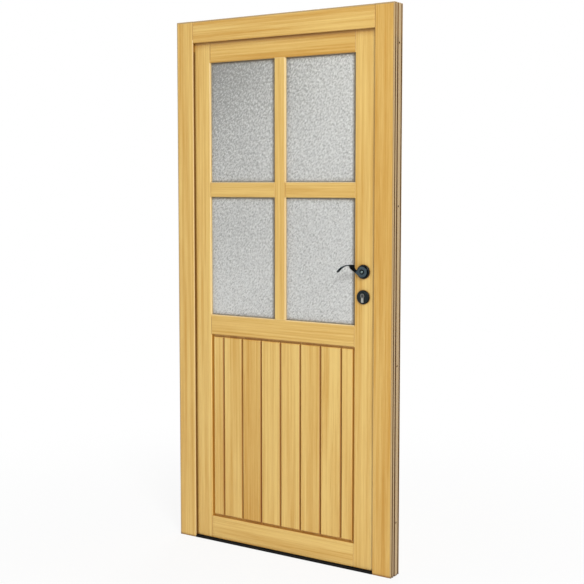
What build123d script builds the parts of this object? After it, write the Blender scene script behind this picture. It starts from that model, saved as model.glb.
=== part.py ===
"""Side entrance door: a timber leaf with four panes over a boarded panel, hung in its frame.

Millimetres. X runs along the width, with the hinges at -X and the lock at +X. The outside faces -Y.
Z is up. The origin is the middle of the threshold's underside.
"""
import os
from math import atan2, degrees

from build123d import *

os.makedirs("parts", exist_ok=True)

# Frame
frame_width = 980.0
frame_height = 2080.0
frame_depth = 60.0
jamb_face = 80.0  # seen from outside, up to the edge of the stop
head_face = 85.0
stop_thickness = 9.0
rebate_width = 15.0  # how far the stop reaches over the leaf
frame_arris = 3.0
relief_places = (7.0, 24.0, 53.0)  # middles of the grooves in the wall side, behind the front
relief_widths = (7.0, 9.0, 8.0)
relief_depth = 5.0
corner_tenon_length = 30.0
corner_tenon_thickness = 16.0
corner_tenon_height = 40.0
wall_hole_radius = 4.0
wall_hole_place = 36.0  # behind the frame's front
wall_hole_count = 4
wall_hole_foot = 160.0  # the lowest, above the floor
wall_hole_head = 180.0  # the highest, below the frame's top
wall_hole_step = 40.0  # the lock jamb's holes stand this much higher

# Threshold and seals
threshold_height = 7.0
threshold_rib_pitch = 8.0
threshold_rib_groove = 2.0
threshold_rib_depth = 0.8
threshold_rib_count = 6
threshold_nose = 2.0
gasket_width = 8.0
gasket_stem_width = 2.4
gasket_stem_depth = 5.0
gasket_nose = 1.2
foot_seal_stem = 5.0
foot_seal_stem_height = 8.0
foot_seal_width = 12.0
foot_seal_plate = 1.2
foot_seal_lip = 1.6

# Leaf
leaf_thickness = 48.0
leaf_gap = 3.0
foot_gap = 3.0
hinge_stile_width = 88.0
lock_stile_width = 98.0
top_rail_height = 92.0
mid_rail_height = 80.0
mid_rail_foot = 840.0  # height of its lower edge
bottom_rail_height = 88.0
sight_chamfer = 3.0
shoulder_chamfer = 2.0  # at the rails' shoulders, so that each joint shows as a fine line
rail_tenon_length = 30.0
rail_tenon_thickness = 14.0
rail_tenon_share = 0.5  # of the rail's height
bar_tenon_length = 12.0
bar_tenon_share = 0.6  # of the bar's web

# Glazing
upright_bar_width = 50.0
cross_bar_width = 58.0
glazing_lip = 8.0
glazing_rebate = 14.0
glass_edge_room = 3.0
glass_sheet = 4.0
glass_space = 16.0
glazing_seal_thickness = 2.0
glazing_seal_width = 8.0
spacer_width = 7.0
spacer_inset = 3.0
bead_chamfer = 4.0
bead_mitre_gap = 0.3

# Boards
full_board_count = 6
full_board_share = 0.1374  # of the panel's width
board_thickness = 30.0
board_setback = 3.5
board_joint = 3.0  # open joint in front of the tongue
board_chamfer = 3.0
board_edge_joint = 9.0  # the same joint along the stiles and rails
board_rear_joint = 0.8
tongue_shoulder = 9.0
tongue_thickness = 8.0
tongue_length = 9.0
panel_groove_depth = 10.0

# Hinges
hinge_end_distance = 250.0  # from the frame's foot and top
hinge_names = ("bottom", "middle", "top")
hinge_radius = 8.5
hinge_half_height = 34.0
hinge_standoff = 10.0  # axis to the inside face
hinge_washer_gap = 0.5
hinge_stud_radius = 3.5
hinge_stud_length = 42.0
hinge_pin_radius = 4.0
hinge_pin_reach = 26.0  # into each half
hinge_cap = 2.0

# Lock
lock_backset = 60.0
spindle_height = 1120.0
cylinder_drop = 88.0
lock_case_thickness = 14.0
lock_case_depth = 76.0
lock_case_above = 50.0
lock_case_below = 115.0
faceplate_thickness = 3.0
faceplate_width = 20.0
faceplate_height = 235.0
latch_rise = 25.0  # above the spindle
latch_height = 18.0
latch_thickness = 11.0
latch_nose = 2.5  # the flat left at the tip of its slant
latch_tail = 34.0
latch_throw = 12.0
bolt_drop = 52.0  # below the spindle
bolt_height = 26.0
bolt_thickness = 8.0
bolt_length = 44.0
bolt_throw = 20.0
follower_radius = 10.0
strike_thickness = 3.0
strike_width = 24.0
strike_height = 200.0
strike_pocket_room = 3.0
plate_screw_radius = 2.0
plate_screw_head = 4.0
plate_screw_length = 25.0
plate_screw_margin = 12.0  # from the plate's ends

# Furniture
rose_radius = 26.0
rose_thickness = 7.0
rose_edge = 2.5
key_rose_drop = 93.0  # its middle, below the spindle
spindle_side = 8.0
spindle_socket = 11.0  # from the leaf's face
neck_radius = 9.0
cylinder_radius = 8.5
cylinder_tail = 10.0
cylinder_height = 33.0
cylinder_stand = 2.0  # proud of the key roses
plug_radius = 6.5
cam_radius = 14.5
cam_width = 9.6
keyway_width = 2.2
keyway_height = 9.0
keyway_depth = 12.0

# The lever: a comma-shaped hub, a twisted neck and an arched blade
hub_radius = 21.0
hub_thickness = 6.0
hub_edge = 2.0
hub_ring_radius = 9.0  # the sunk ring round the boss
hub_ring_depth = 1.6
hub_boss_radius = 5.0
hub_boss_height = 2.4
boss_edge = 2.0
tail_reach = 26.0  # the comma's end, left of the spindle's axis
tail_rise = 1.0
tail_width = 12.0
tail_thickness = 5.0
lever_reach = 88.0
lever_rise = 25.0  # the blade's top
lever_droop = 28.0  # from the blade's top to its tip
lever_standoff = 38.0  # the blade's middle, off the leaf
blade_width = 18.0
blade_thickness = 3.6
blade_tip_corner = 6.0
fold_reach = 21.0  # where the blade's edge next to the leaf starts
fold_skew = 14.0  # how much farther on its other edge starts
# Where the comma's outline leaves its round, as shares of the hub's radius
tail_root_shares = ((-0.62, -0.78), (-0.95, 0.30))
# The neck from the comma's end to the fold, as shares of the way left, up and out;
# then the directions of its width and of its run (left, up, out); then its width and thickness shares
neck_shares = (
    (0.0, 0.0, 0.0, (-0.7, 0.7, 0.0), (0.7, 0.7, 0.1), 1.0, 1.0),
    (0.9, 0.24, 0.22, (-0.8, 0.6, 0.0), (0.35, 0.6, 0.75), 0.95, 1.05),
    (1.2, 0.52, 0.58, (-0.8, 0.25, -0.55), (0.1, 0.65, 0.75), 1.3, 0.95),
)

# Fits
fit_gap = 0.2  # between pieces that are put together and stay
run_gap = 0.3  # between pieces that slide past each other
pin_gap = 0.06  # hinge pin in its bore
plug_gap = 0.1
overrun = 5.0  # how far a cut reaches past the face it starts from

# Places that follow from the sizes above
half_width = frame_width / 2
y_front = -frame_depth / 2
y_back = frame_depth / 2
y_stop = y_front + stop_thickness
y_leaf = y_back - leaf_thickness
y_middle = y_leaf + leaf_thickness / 2
stop_x = half_width - jamb_face
rebate_x = stop_x + rebate_width
stop_z = frame_height - head_face
rebate_z = stop_z + rebate_width
gasket_x = stop_x + rebate_width / 2
gasket_z = stop_z + rebate_width / 2
y_wall_hole = y_front + wall_hole_place
wall_hole_pitch = (frame_height - wall_hole_head - wall_hole_foot) / (wall_hole_count - 1)
wall_hole_heights = [wall_hole_foot + step * wall_hole_pitch for step in range(wall_hole_count)]
hinge_heights = (hinge_end_distance, frame_height / 2, frame_height - hinge_end_distance)

leaf_x = rebate_x - leaf_gap
leaf_top = rebate_z - leaf_gap
leaf_foot = threshold_height + foot_gap
left_x = -leaf_x + hinge_stile_width
right_x = leaf_x - lock_stile_width
panel_foot = leaf_foot + bottom_rail_height
panel_top = mid_rail_foot
glass_foot = mid_rail_foot + mid_rail_height
glass_top = leaf_top - top_rail_height

bar_x = (left_x + right_x) / 2
bar_z = (glass_foot + glass_top) / 2
y_lip = y_leaf + glazing_lip
y_glass = y_lip + glazing_seal_thickness
y_space = y_glass + glass_sheet
y_inner_glass = y_space + glass_space
y_bead = y_inner_glass + glass_sheet
upright_web = upright_bar_width - 2 * glazing_rebate
cross_web = cross_bar_width - 2 * glazing_rebate

y_board = y_leaf + board_setback
y_tongue = y_board + tongue_shoulder
y_tongue_back = y_tongue + tongue_thickness
y_board_back = y_board + board_thickness
panel_tongue = panel_groove_depth - fit_gap

hinge_x = -(leaf_x + rebate_x) / 2
hinge_y = y_back + hinge_standoff

spindle_x = leaf_x - lock_backset
cylinder_z = spindle_height - cylinder_drop
key_rose_z = spindle_height - key_rose_drop
case_front = leaf_x - faceplate_thickness
case_back = case_front - lock_case_depth
case_foot = spindle_height - lock_case_below
case_head = spindle_height + lock_case_above
case_middle = (case_foot + case_head) / 2
latch_z = spindle_height + latch_rise
bolt_z = spindle_height - bolt_drop
strike_z = (latch_z + bolt_z) / 2

# The two columns and two rows of sight openings
pane_columns = {
    "left": (left_x, bar_x - upright_bar_width / 2),
    "right": (bar_x + upright_bar_width / 2, right_x),
}
pane_rows = {
    "upper": (bar_z + cross_bar_width / 2, glass_top),
    "lower": (glass_foot, bar_z - cross_bar_width / 2),
}


def save(piece, name):
    """Label the piece and write it to its own file."""
    piece.part.label = name
    export_step(piece.part, f"parts/{name}.step")


def front_plane(y):
    """A plane across the door at this depth, with X to the right and Z up, that looks outside."""
    return Plane.XZ.offset(-y)


def block(x_range, y_range, z_range, mode=Mode.ADD):
    """A rectangular length of stock, or a pocket of that shape, between the given limits."""
    limits = (x_range, y_range, z_range)
    middle = tuple((low + high) / 2 for low, high in limits)
    size = tuple(abs(high - low) for low, high in limits)
    with Locations(middle):
        Box(*size, mode=mode)


def rod(start, end, radius, mode=Mode.ADD):
    """A round rod, or a drilled hole, from one point to another."""
    run = Vector(*end) - Vector(*start)
    with Locations(Plane(origin=start, z_dir=run.normalized())):
        Cylinder(radius, run.length, align=(Align.CENTER, Align.CENTER, Align.MIN), mode=mode)


def countersink(start, end, mode=Mode.ADD, room=0.0):
    """A countersunk screw from its head's top to its point, or the hole that takes it."""
    run = Vector(*end) - Vector(*start)
    head_depth = plate_screw_head - plate_screw_radius
    with Locations(Plane(origin=start, z_dir=run.normalized())):
        Cone(
            plate_screw_head + room,
            plate_screw_radius + room,
            head_depth,
            align=(Align.CENTER, Align.CENTER, Align.MIN),
            mode=mode,
        )
        Cylinder(
            plate_screw_radius + room,
            run.length,
            align=(Align.CENTER, Align.CENTER, Align.MIN),
            mode=mode,
        )


def euro_profile(room=0.0):
    """The cylinder's pear-shaped outline about the plug's axis: a circle over a narrow tail."""
    tail_foot = cylinder_height - cylinder_radius
    Circle(cylinder_radius + room)
    with Locations((0, -tail_foot / 2)):
        Rectangle(cylinder_tail + 2 * room, tail_foot + 2 * room)


def plate_screw_heights(middle, height):
    """Where a plate's two screws sit."""
    reach = height / 2 - plate_screw_margin
    return (middle - reach, middle + reach)


# Frame members

def jamb(side):
    """One jamb, cut to length, with its stop, seal groove, relief grooves and wall holes."""
    with BuildPart() as member:
        with BuildSketch():
            with BuildLine():
                Polyline(
                    (side * half_width, y_front),
                    (side * stop_x, y_front),
                    (side * stop_x, y_stop),
                    (side * rebate_x, y_stop),
                    (side * rebate_x, y_back),
                    (side * half_width, y_back),
                    close=True,
                )
            make_face()
            for place, width in zip(relief_places, relief_widths):
                with Locations((side * half_width, y_front + place)):
                    Rectangle(2 * relief_depth, width, mode=Mode.SUBTRACT)
            with Locations((side * gasket_x, y_stop)):
                Rectangle(gasket_stem_width, 2 * gasket_stem_depth, mode=Mode.SUBTRACT)
        extrude(amount=frame_height)
        front_edges = member.edges().filter_by(Axis.Z).group_by(Axis.Y)[0]
        fillet(front_edges, frame_arris)
        block(
            (side * (stop_x - overrun), side * (gasket_x + gasket_stem_width / 2)),
            (y_stop - gasket_stem_depth, y_stop),
            (gasket_z - gasket_stem_width / 2, gasket_z + gasket_stem_width / 2),
            Mode.SUBTRACT,
        )
        block(
            (side * (rebate_x - overrun), side * (rebate_x + corner_tenon_length + fit_gap)),
            (y_middle - corner_tenon_thickness / 2 - fit_gap, y_middle + corner_tenon_thickness / 2 + fit_gap),
            (corner_tenon_z - fit_gap, corner_tenon_z + corner_tenon_height + fit_gap),
            Mode.SUBTRACT,
        )
        for height in wall_hole_heights:
            z = height + (wall_hole_step if side > 0 else 0)
            start = (side * (rebate_x - overrun), y_wall_hole, z)
            rod(start, (side * (half_width + overrun), y_wall_hole, z), wall_hole_radius, Mode.SUBTRACT)
    return member


corner_tenon_z = (rebate_z + frame_height - corner_tenon_height) / 2

# Hinge jamb: the hinges' studs are driven into its inside face at a slant
hinge_jamb_blank = jamb(-1)
stud_side = hinge_stud_length * 0.5**0.5

with BuildPart() as hinge_jamb:
    add(hinge_jamb_blank.part)
    for height in hinge_heights:
        z = height - hinge_half_height / 2
        start = (hinge_x, hinge_y, z)
        rod(start, (hinge_x - stud_side, hinge_y - stud_side, z), hinge_stud_radius, Mode.SUBTRACT)
save(hinge_jamb, "hinge_jamb")

# Lock jamb: let in for the strike plate, with pockets for the latch and the bolt
lock_jamb_blank = jamb(1)
strike_back = rebate_x + strike_thickness

with BuildPart() as lock_jamb:
    add(lock_jamb_blank.part)
    block(
        (rebate_x - overrun, strike_back),
        (y_middle - strike_width / 2, y_middle + strike_width / 2),
        (strike_z - strike_height / 2, strike_z + strike_height / 2),
        Mode.SUBTRACT,
    )
    for middle, height, thickness, reach in (
        (latch_z, latch_height, latch_thickness, latch_throw),
        (bolt_z, bolt_height, bolt_thickness, bolt_throw),
    ):
        block(
            (rebate_x - overrun, leaf_x + reach + strike_pocket_room),
            (y_middle - thickness / 2 - strike_pocket_room, y_middle + thickness / 2 + strike_pocket_room),
            (middle - height / 2 - strike_pocket_room, middle + height / 2 + strike_pocket_room),
            Mode.SUBTRACT,
        )
    for z in plate_screw_heights(strike_z, strike_height):
        countersink((rebate_x, y_middle, z), (rebate_x + plate_screw_length, y_middle, z), Mode.SUBTRACT)
save(lock_jamb, "lock_jamb")


def take_arris(start, end, across, size=sight_chamfer):
    """Take the arris off a member's edge, as along a sight opening or a shoulder."""
    with BuildPart(mode=Mode.PRIVATE) as cutter:
        run = Vector(*end) - Vector(*start)
        plane = Plane(origin=start, x_dir=across, z_dir=run.normalized())
        with BuildSketch(plane):
            with Locations((0, 0)):
                Rectangle(2 * size / 2**0.5, 2 * size / 2**0.5, rotation=45)
        extrude(amount=run.length)
    add(cutter.part, mode=Mode.SUBTRACT)


def shoulder_line(x, faces, foot, head):
    """Break the upright edges where a cross member's end meets its neighbour."""
    for y in faces:
        take_arris((x, y, foot), (x, y, head), (1, 0, 0), shoulder_chamfer)


# Head, between the jambs, with a stub tenon at each end
with BuildPart() as frame_head:
    with BuildSketch(Plane.YZ.offset(-stop_x)):
        with Locations(((y_front + y_stop) / 2, (stop_z + frame_height) / 2)):
            Rectangle(stop_thickness, head_face)
    extrude(amount=2 * stop_x)
    with BuildSketch(Plane.YZ.offset(-rebate_x)):
        with Locations(((y_stop + y_back) / 2, (rebate_z + frame_height) / 2)):
            Rectangle(frame_depth - stop_thickness, frame_height - rebate_z)
    extrude(amount=2 * rebate_x)
    front_arris = frame_head.edges().filter_by(Axis.X).group_by(Axis.Y)[0]
    fillet(front_arris, frame_arris)
    for place, width in zip(relief_places, relief_widths):
        block(
            (-rebate_x - overrun, rebate_x + overrun),
            (y_front + place - width / 2, y_front + place + width / 2),
            (frame_height - relief_depth, frame_height + overrun),
            Mode.SUBTRACT,
        )
    block(
        (-rebate_x - overrun, rebate_x + overrun),
        (y_stop - gasket_stem_depth, y_stop),
        (gasket_z - gasket_stem_width / 2, gasket_z + gasket_stem_width / 2),
        Mode.SUBTRACT,
    )
    for side in (-1, 1):
        shoulder_line(side * stop_x, (y_front,), stop_z, frame_height)
        shoulder_line(side * rebate_x, (y_back,), rebate_z, frame_height)
        block(
            (side * rebate_x, side * (rebate_x + corner_tenon_length)),
            (y_middle - corner_tenon_thickness / 2, y_middle + corner_tenon_thickness / 2),
            (corner_tenon_z, corner_tenon_z + corner_tenon_height),
        )
save(frame_head, "frame_head")

# Threshold: a flat bar with a ribbed tread, notched round the jambs' stops
with BuildPart() as threshold:
    with BuildSketch():
        with Locations((0, (y_front + y_stop) / 2)):
            Rectangle(2 * stop_x, stop_thickness)
        with Locations((0, (y_stop + y_back) / 2)):
            Rectangle(2 * rebate_x, frame_depth - stop_thickness)
    extrude(amount=threshold_height)
    top_front = threshold.edges().filter_by(Axis.X).group_by(Axis.Z)[-1].sort_by(Axis.Y)[0]
    fillet(top_front, threshold_nose)
    for step in range(threshold_rib_count):
        y = y_front + threshold_rib_pitch * (step + 0.5)
        block(
            (-rebate_x - overrun, rebate_x + overrun),
            (y - threshold_rib_groove / 2, y + threshold_rib_groove / 2),
            (threshold_height - threshold_rib_depth, threshold_height + overrun),
            Mode.SUBTRACT,
        )
save(threshold, "threshold")


def gasket_run(width):
    """The seal's path round the stop, at this width, open at the foot."""
    x = stop_x + rebate_width / 2
    top = stop_z + rebate_width / 2
    outer_top = top + width / 2
    inner_top = top - width / 2
    with Locations((0, (threshold_height + outer_top) / 2)):
        Rectangle(2 * x + width, outer_top - threshold_height)
    with Locations((0, (threshold_height + inner_top) / 2)):
        Rectangle(2 * x - width, inner_top - threshold_height, mode=Mode.SUBTRACT)


# Rubber gasket: a flat bulb behind the stop, held by a stem in the stop's groove
gasket_thickness = y_leaf - y_stop - run_gap

with BuildPart() as frame_gasket:
    with BuildSketch(front_plane(y_stop)):
        gasket_run(gasket_width)
    extrude(amount=-gasket_thickness)
    nose_edges = frame_gasket.faces().sort_by(Axis.Y)[-1].edges()
    chamfer(nose_edges, gasket_nose)
    with BuildSketch(front_plane(y_stop)):
        gasket_run(gasket_stem_width)
    extrude(amount=gasket_stem_depth)
save(frame_gasket, "frame_gasket")

# Strike plate and its screws
with BuildPart() as strike_plate:
    block(
        (rebate_x, strike_back),
        (y_middle - strike_width / 2, y_middle + strike_width / 2),
        (strike_z - strike_height / 2, strike_z + strike_height / 2),
    )
    upright_edges = strike_plate.edges().filter_by(Axis.X)
    fillet(upright_edges, strike_thickness)
    for middle, height, thickness in (
        (latch_z, latch_height, latch_thickness),
        (bolt_z, bolt_height, bolt_thickness),
    ):
        block(
            (rebate_x - overrun, strike_back + overrun),
            (y_middle - thickness / 2 - strike_pocket_room / 2, y_middle + thickness / 2 + strike_pocket_room / 2),
            (middle - height / 2 - strike_pocket_room / 2, middle + height / 2 + strike_pocket_room / 2),
            Mode.SUBTRACT,
        )
    for z in plate_screw_heights(strike_z, strike_height):
        countersink((rebate_x, y_middle, z), (rebate_x + plate_screw_length, y_middle, z), Mode.SUBTRACT)
save(strike_plate, "strike_plate")

with BuildPart() as strike_screws:
    for z in plate_screw_heights(strike_z, strike_height):
        countersink((rebate_x, y_middle, z), (rebate_x + plate_screw_length, y_middle, z))
save(strike_screws, "strike_screws")

# Leaf members



def stile(inner_x, outer_x):
    """One upright of the leaf, with its glazing rebate, panel groove and rail mortises."""
    inward = 1 if inner_x > outer_x else -1
    with BuildPart() as member:
        block((outer_x, inner_x), (y_leaf, y_back), (leaf_foot, leaf_top))
        block(
            (inner_x - inward * glazing_rebate, inner_x + inward * overrun),
            (y_lip, y_back + overrun),
            (glass_foot - glazing_rebate, glass_top + glazing_rebate),
            Mode.SUBTRACT,
        )
        block(
            (inner_x - inward * panel_groove_depth, inner_x + inward * overrun),
            (y_tongue - fit_gap, y_tongue_back + fit_gap),
            (panel_foot - panel_groove_depth, panel_top + panel_groove_depth),
            Mode.SUBTRACT,
        )
        for foot, height in rail_places:
            half_tenon = height * rail_tenon_share / 2 + fit_gap
            middle = foot + height / 2
            block(
                (inner_x - inward * (rail_tenon_length + fit_gap), inner_x + inward * overrun),
                (y_rail_tenon - fit_gap, y_rail_tenon + rail_tenon_thickness + fit_gap),
                (middle - half_tenon, middle + half_tenon),
                Mode.SUBTRACT,
            )
        for low, high in ((panel_foot, panel_top), *pane_rows.values()):
            take_arris((inner_x, y_leaf, low), (inner_x, y_leaf, high), (inward, 0, 0))
    return member


rail_places = (
    (leaf_foot, bottom_rail_height),
    (mid_rail_foot, mid_rail_height),
    (glass_top, top_rail_height),
)
y_rail_tenon = y_middle - rail_tenon_thickness / 2

# Hinge stile, drilled for the hinges' studs
hinge_stile_blank = stile(left_x, -leaf_x)

with BuildPart() as hinge_stile:
    add(hinge_stile_blank.part)
    for height in hinge_heights:
        z = height + hinge_half_height / 2
        start = (hinge_x, hinge_y, z)
        rod(start, (hinge_x + stud_side, hinge_y - stud_side, z), hinge_stud_radius, Mode.SUBTRACT)
save(hinge_stile, "hinge_stile")

# Lock stile, morticed for the lock and bored for the spindle and the cylinder
lock_stile_blank = stile(right_x, leaf_x)
y_case = y_middle - lock_case_thickness / 2
y_case_back = y_middle + lock_case_thickness / 2

with BuildPart() as lock_stile:
    add(lock_stile_blank.part)
    block(
        (case_back - fit_gap, leaf_x + overrun),
        (y_case - fit_gap, y_case_back + fit_gap),
        (case_foot - fit_gap, case_head + fit_gap),
        Mode.SUBTRACT,
    )
    block(
        (case_front, leaf_x + overrun),
        (y_middle - faceplate_width / 2, y_middle + faceplate_width / 2),
        (case_middle - faceplate_height / 2, case_middle + faceplate_height / 2),
        Mode.SUBTRACT,
    )
    for z in plate_screw_heights(case_middle, faceplate_height):
        countersink((leaf_x, y_middle, z), (leaf_x - plate_screw_length, y_middle, z), Mode.SUBTRACT)
    rod(
        (spindle_x, y_leaf - overrun, spindle_height),
        (spindle_x, y_back + overrun, spindle_height),
        neck_radius + run_gap,
        Mode.SUBTRACT,
    )
    with BuildSketch(front_plane(y_leaf - overrun)):
        with Locations((spindle_x, cylinder_z)):
            euro_profile(fit_gap)
    extrude(amount=-(leaf_thickness + 2 * overrun), mode=Mode.SUBTRACT)
save(lock_stile, "lock_stile")


def rail(foot, height):
    """One cross member of the leaf with a tenon at each end."""
    half_tenon = height * rail_tenon_share / 2
    middle = foot + height / 2
    with BuildPart() as member:
        block((left_x, right_x), (y_leaf, y_back), (foot, foot + height))
        block(
            (left_x - rail_tenon_length, right_x + rail_tenon_length),
            (y_rail_tenon, y_rail_tenon + rail_tenon_thickness),
            (middle - half_tenon, middle + half_tenon),
        )
        for x in (left_x, right_x):
            shoulder_line(x, (y_leaf, y_back), foot, foot + height)
    return member


def glazing_groove(edge_z, upward):
    """Cut a rail's glazing rebate, its upright bar's mortise and its sight edges."""
    block(
        (left_x - overrun, right_x + overrun),
        (y_lip, y_back + overrun),
        (edge_z - upward * overrun, edge_z + upward * glazing_rebate),
        Mode.SUBTRACT,
    )
    half_tenon = upright_web * bar_tenon_share / 2 + fit_gap
    block(
        (bar_x - half_tenon, bar_x + half_tenon),
        (y_bar_tenon - fit_gap, y_bar_tenon + rail_tenon_thickness + fit_gap),
        (edge_z, edge_z + upward * (glazing_rebate + bar_tenon_length + fit_gap)),
        Mode.SUBTRACT,
    )
    for low, high in pane_columns.values():
        take_arris((low, y_leaf, edge_z), (high, y_leaf, edge_z), (0, 0, 1))


def panel_groove(edge_z, upward):
    """Cut a rail's groove for the boards' end tongues, and its sight edge."""
    block(
        (left_x - overrun, right_x + overrun),
        (y_tongue - fit_gap, y_tongue_back + fit_gap),
        (edge_z - upward * overrun, edge_z + upward * panel_groove_depth),
        Mode.SUBTRACT,
    )
    take_arris((left_x, y_leaf, edge_z), (right_x, y_leaf, edge_z), (0, 0, 1))


y_bar_tenon = (y_lip + y_back - rail_tenon_thickness) / 2

top_rail_blank = rail(glass_top, top_rail_height)
with BuildPart() as top_rail:
    add(top_rail_blank.part)
    glazing_groove(glass_top, 1)
save(top_rail, "top_rail")

mid_rail_blank = rail(mid_rail_foot, mid_rail_height)
with BuildPart() as mid_rail:
    add(mid_rail_blank.part)
    glazing_groove(glass_foot, -1)
    panel_groove(panel_top, 1)
save(mid_rail, "mid_rail")

bottom_rail_blank = rail(leaf_foot, bottom_rail_height)
with BuildPart() as bottom_rail:
    add(bottom_rail_blank.part)
    panel_groove(panel_foot, -1)
    block(
        (left_x - overrun, right_x + overrun),
        (y_middle - foot_seal_stem / 2, y_middle + foot_seal_stem / 2),
        (leaf_foot - overrun, leaf_foot + foot_seal_stem_height),
        Mode.SUBTRACT,
    )
save(bottom_rail, "bottom_rail")

# Foot seal: a stem in the bottom rail's groove, a thin plate and a wiping lip over the threshold
with BuildPart() as foot_seal:
    block(
        (left_x, right_x),
        (y_middle - foot_seal_stem / 2, y_middle + foot_seal_stem / 2),
        (leaf_foot - foot_seal_plate, leaf_foot + foot_seal_stem_height),
    )
    block(
        (left_x, right_x),
        (y_middle - foot_seal_width / 2, y_middle + foot_seal_width / 2),
        (leaf_foot - foot_seal_plate, leaf_foot),
    )
    block(
        (left_x, right_x),
        (y_middle - foot_seal_lip / 2, y_middle + foot_seal_lip / 2),
        (threshold_height + run_gap, leaf_foot),
    )
save(foot_seal, "foot_seal")

# Glazing bars: a flange outside the glass and a web between the panes
with BuildPart() as upright_bar:
    with BuildSketch(Plane.XY.offset(glass_foot)):
        with Locations((bar_x, (y_leaf + y_lip) / 2)):
            Rectangle(upright_bar_width, glazing_lip)
    extrude(amount=glass_top - glass_foot)
    with BuildSketch(Plane.XY.offset(glass_foot - glazing_rebate)):
        with Locations((bar_x, (y_lip + y_back) / 2)):
            Rectangle(upright_web, leaf_thickness - glazing_lip)
    extrude(amount=glass_top - glass_foot + 2 * glazing_rebate)
    half_tenon = upright_web * bar_tenon_share / 2
    tenon_reach = glazing_rebate + bar_tenon_length
    block(
        (bar_x - half_tenon, bar_x + half_tenon),
        (y_bar_tenon, y_bar_tenon + rail_tenon_thickness),
        (glass_foot - tenon_reach, glass_top + tenon_reach),
    )
    for edge in (-1, 1):
        edge_x = bar_x + edge * upright_bar_width / 2
        for low, high in pane_rows.values():
            take_arris((edge_x, y_leaf, low), (edge_x, y_leaf, high), (1, 0, 0))
save(upright_bar, "upright_bar")


def cross_bar(stile_x, side):
    """One cross bar, from a stile's sight edge to the upright bar."""
    flange_end = bar_x + side * upright_bar_width / 2
    web_end = bar_x + side * upright_web / 2
    with BuildPart() as member:
        block(
            (stile_x, flange_end),
            (y_leaf, y_lip),
            (bar_z - cross_bar_width / 2, bar_z + cross_bar_width / 2),
        )
        block(
            (stile_x + side * glazing_rebate, web_end),
            (y_lip, y_back),
            (bar_z - cross_web / 2, bar_z + cross_web / 2),
        )
        for edge in (-1, 1):
            edge_z = bar_z + edge * cross_bar_width / 2
            ends = sorted((stile_x, flange_end))
            take_arris((ends[0], y_leaf, edge_z), (ends[1], y_leaf, edge_z), (0, 0, 1))
        for x in (stile_x, flange_end):
            shoulder_line(x, (y_leaf,), bar_z - cross_bar_width / 2, bar_z + cross_bar_width / 2)
    return member


save(cross_bar(left_x, -1), "cross_bar_left")
save(cross_bar(right_x, 1), "cross_bar_right")

# Panes, spacers, seals and beads

def pane_place(column, row):
    """The middle, width and height of one sight opening."""
    (x_low, x_high), (z_low, z_high) = pane_columns[column], pane_rows[row]
    return ((x_low + x_high) / 2, (z_low + z_high) / 2), x_high - x_low, z_high - z_low


def glass(column, row, y):
    """One sheet of glass."""
    middle, width, height = pane_place(column, row)
    grow = 2 * (glazing_rebate - glass_edge_room)
    with BuildPart() as sheet:
        with BuildSketch(front_plane(y)):
            with Locations(middle):
                Rectangle(width + grow, height + grow)
        extrude(amount=-glass_sheet)
    return sheet


def beads(column, row):
    """Four mitred beads that hold one glass unit from the inside."""
    middle, width, height = pane_place(column, row)
    outer_width = width + 2 * glazing_rebate
    outer_height = height + 2 * glazing_rebate
    with BuildPart() as ring:
        with BuildSketch(front_plane(y_bead)):
            with Locations(middle):
                Rectangle(outer_width, outer_height)
                Rectangle(width, height, mode=Mode.SUBTRACT)
        extrude(amount=-(y_back - y_bead))
        inner_edges = ring.faces().sort_by(Axis.Y)[-1].inner_wires()[0].edges()
        chamfer(inner_edges, bead_chamfer)
        with BuildSketch(front_plane(y_bead - overrun)):
            for across in (-1, 1):
                for up in (-1, 1):
                    corner = (middle[0] + across * width / 2, middle[1] + up * height / 2)
                    with Locations(corner):
                        Rectangle(4 * glazing_rebate, bead_mitre_gap, rotation=across * up * 45)
        extrude(amount=-(y_back - y_bead + 2 * overrun), mode=Mode.SUBTRACT)
    return ring


for row in pane_rows:
    for column in pane_columns:
        save(glass(column, row, y_glass), f"outer_pane_{row}_{column}")
        save(glass(column, row, y_inner_glass), f"inner_pane_{row}_{column}")
        save(beads(column, row), f"glazing_beads_{row}_{column}")


def pane_rings(y, depth, outer_grow, width):
    """One strip of the given width round each of the four openings."""
    with BuildPart() as rings:
        with BuildSketch(front_plane(y)):
            for row in pane_rows:
                for column in pane_columns:
                    middle, pane_width, pane_height = pane_place(column, row)
                    with Locations(middle):
                        Rectangle(pane_width + 2 * outer_grow, pane_height + 2 * outer_grow)
                        inner_grow = outer_grow - width
                        Rectangle(
                            pane_width + 2 * inner_grow,
                            pane_height + 2 * inner_grow,
                            mode=Mode.SUBTRACT,
                        )
        extrude(amount=-depth)
    return rings


spacer_grow = glazing_rebate - glass_edge_room - spacer_inset
save(pane_rings(y_space, glass_space, spacer_grow, spacer_width), "glass_spacers")
save(pane_rings(y_lip, glazing_seal_thickness, glazing_seal_width, glazing_seal_width), "glazing_seals")

# Boards of the lower panel: each has a tongue on its right edge and a groove on its left
board_pitch = (right_x - left_x) * full_board_share
end_board_width = (right_x - left_x - full_board_count * board_pitch) / 2
joint_places = [left_x, left_x + end_board_width]
for step in range(full_board_count):
    joint_places.append(joint_places[-1] + board_pitch)
joint_places.append(right_x)


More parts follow.
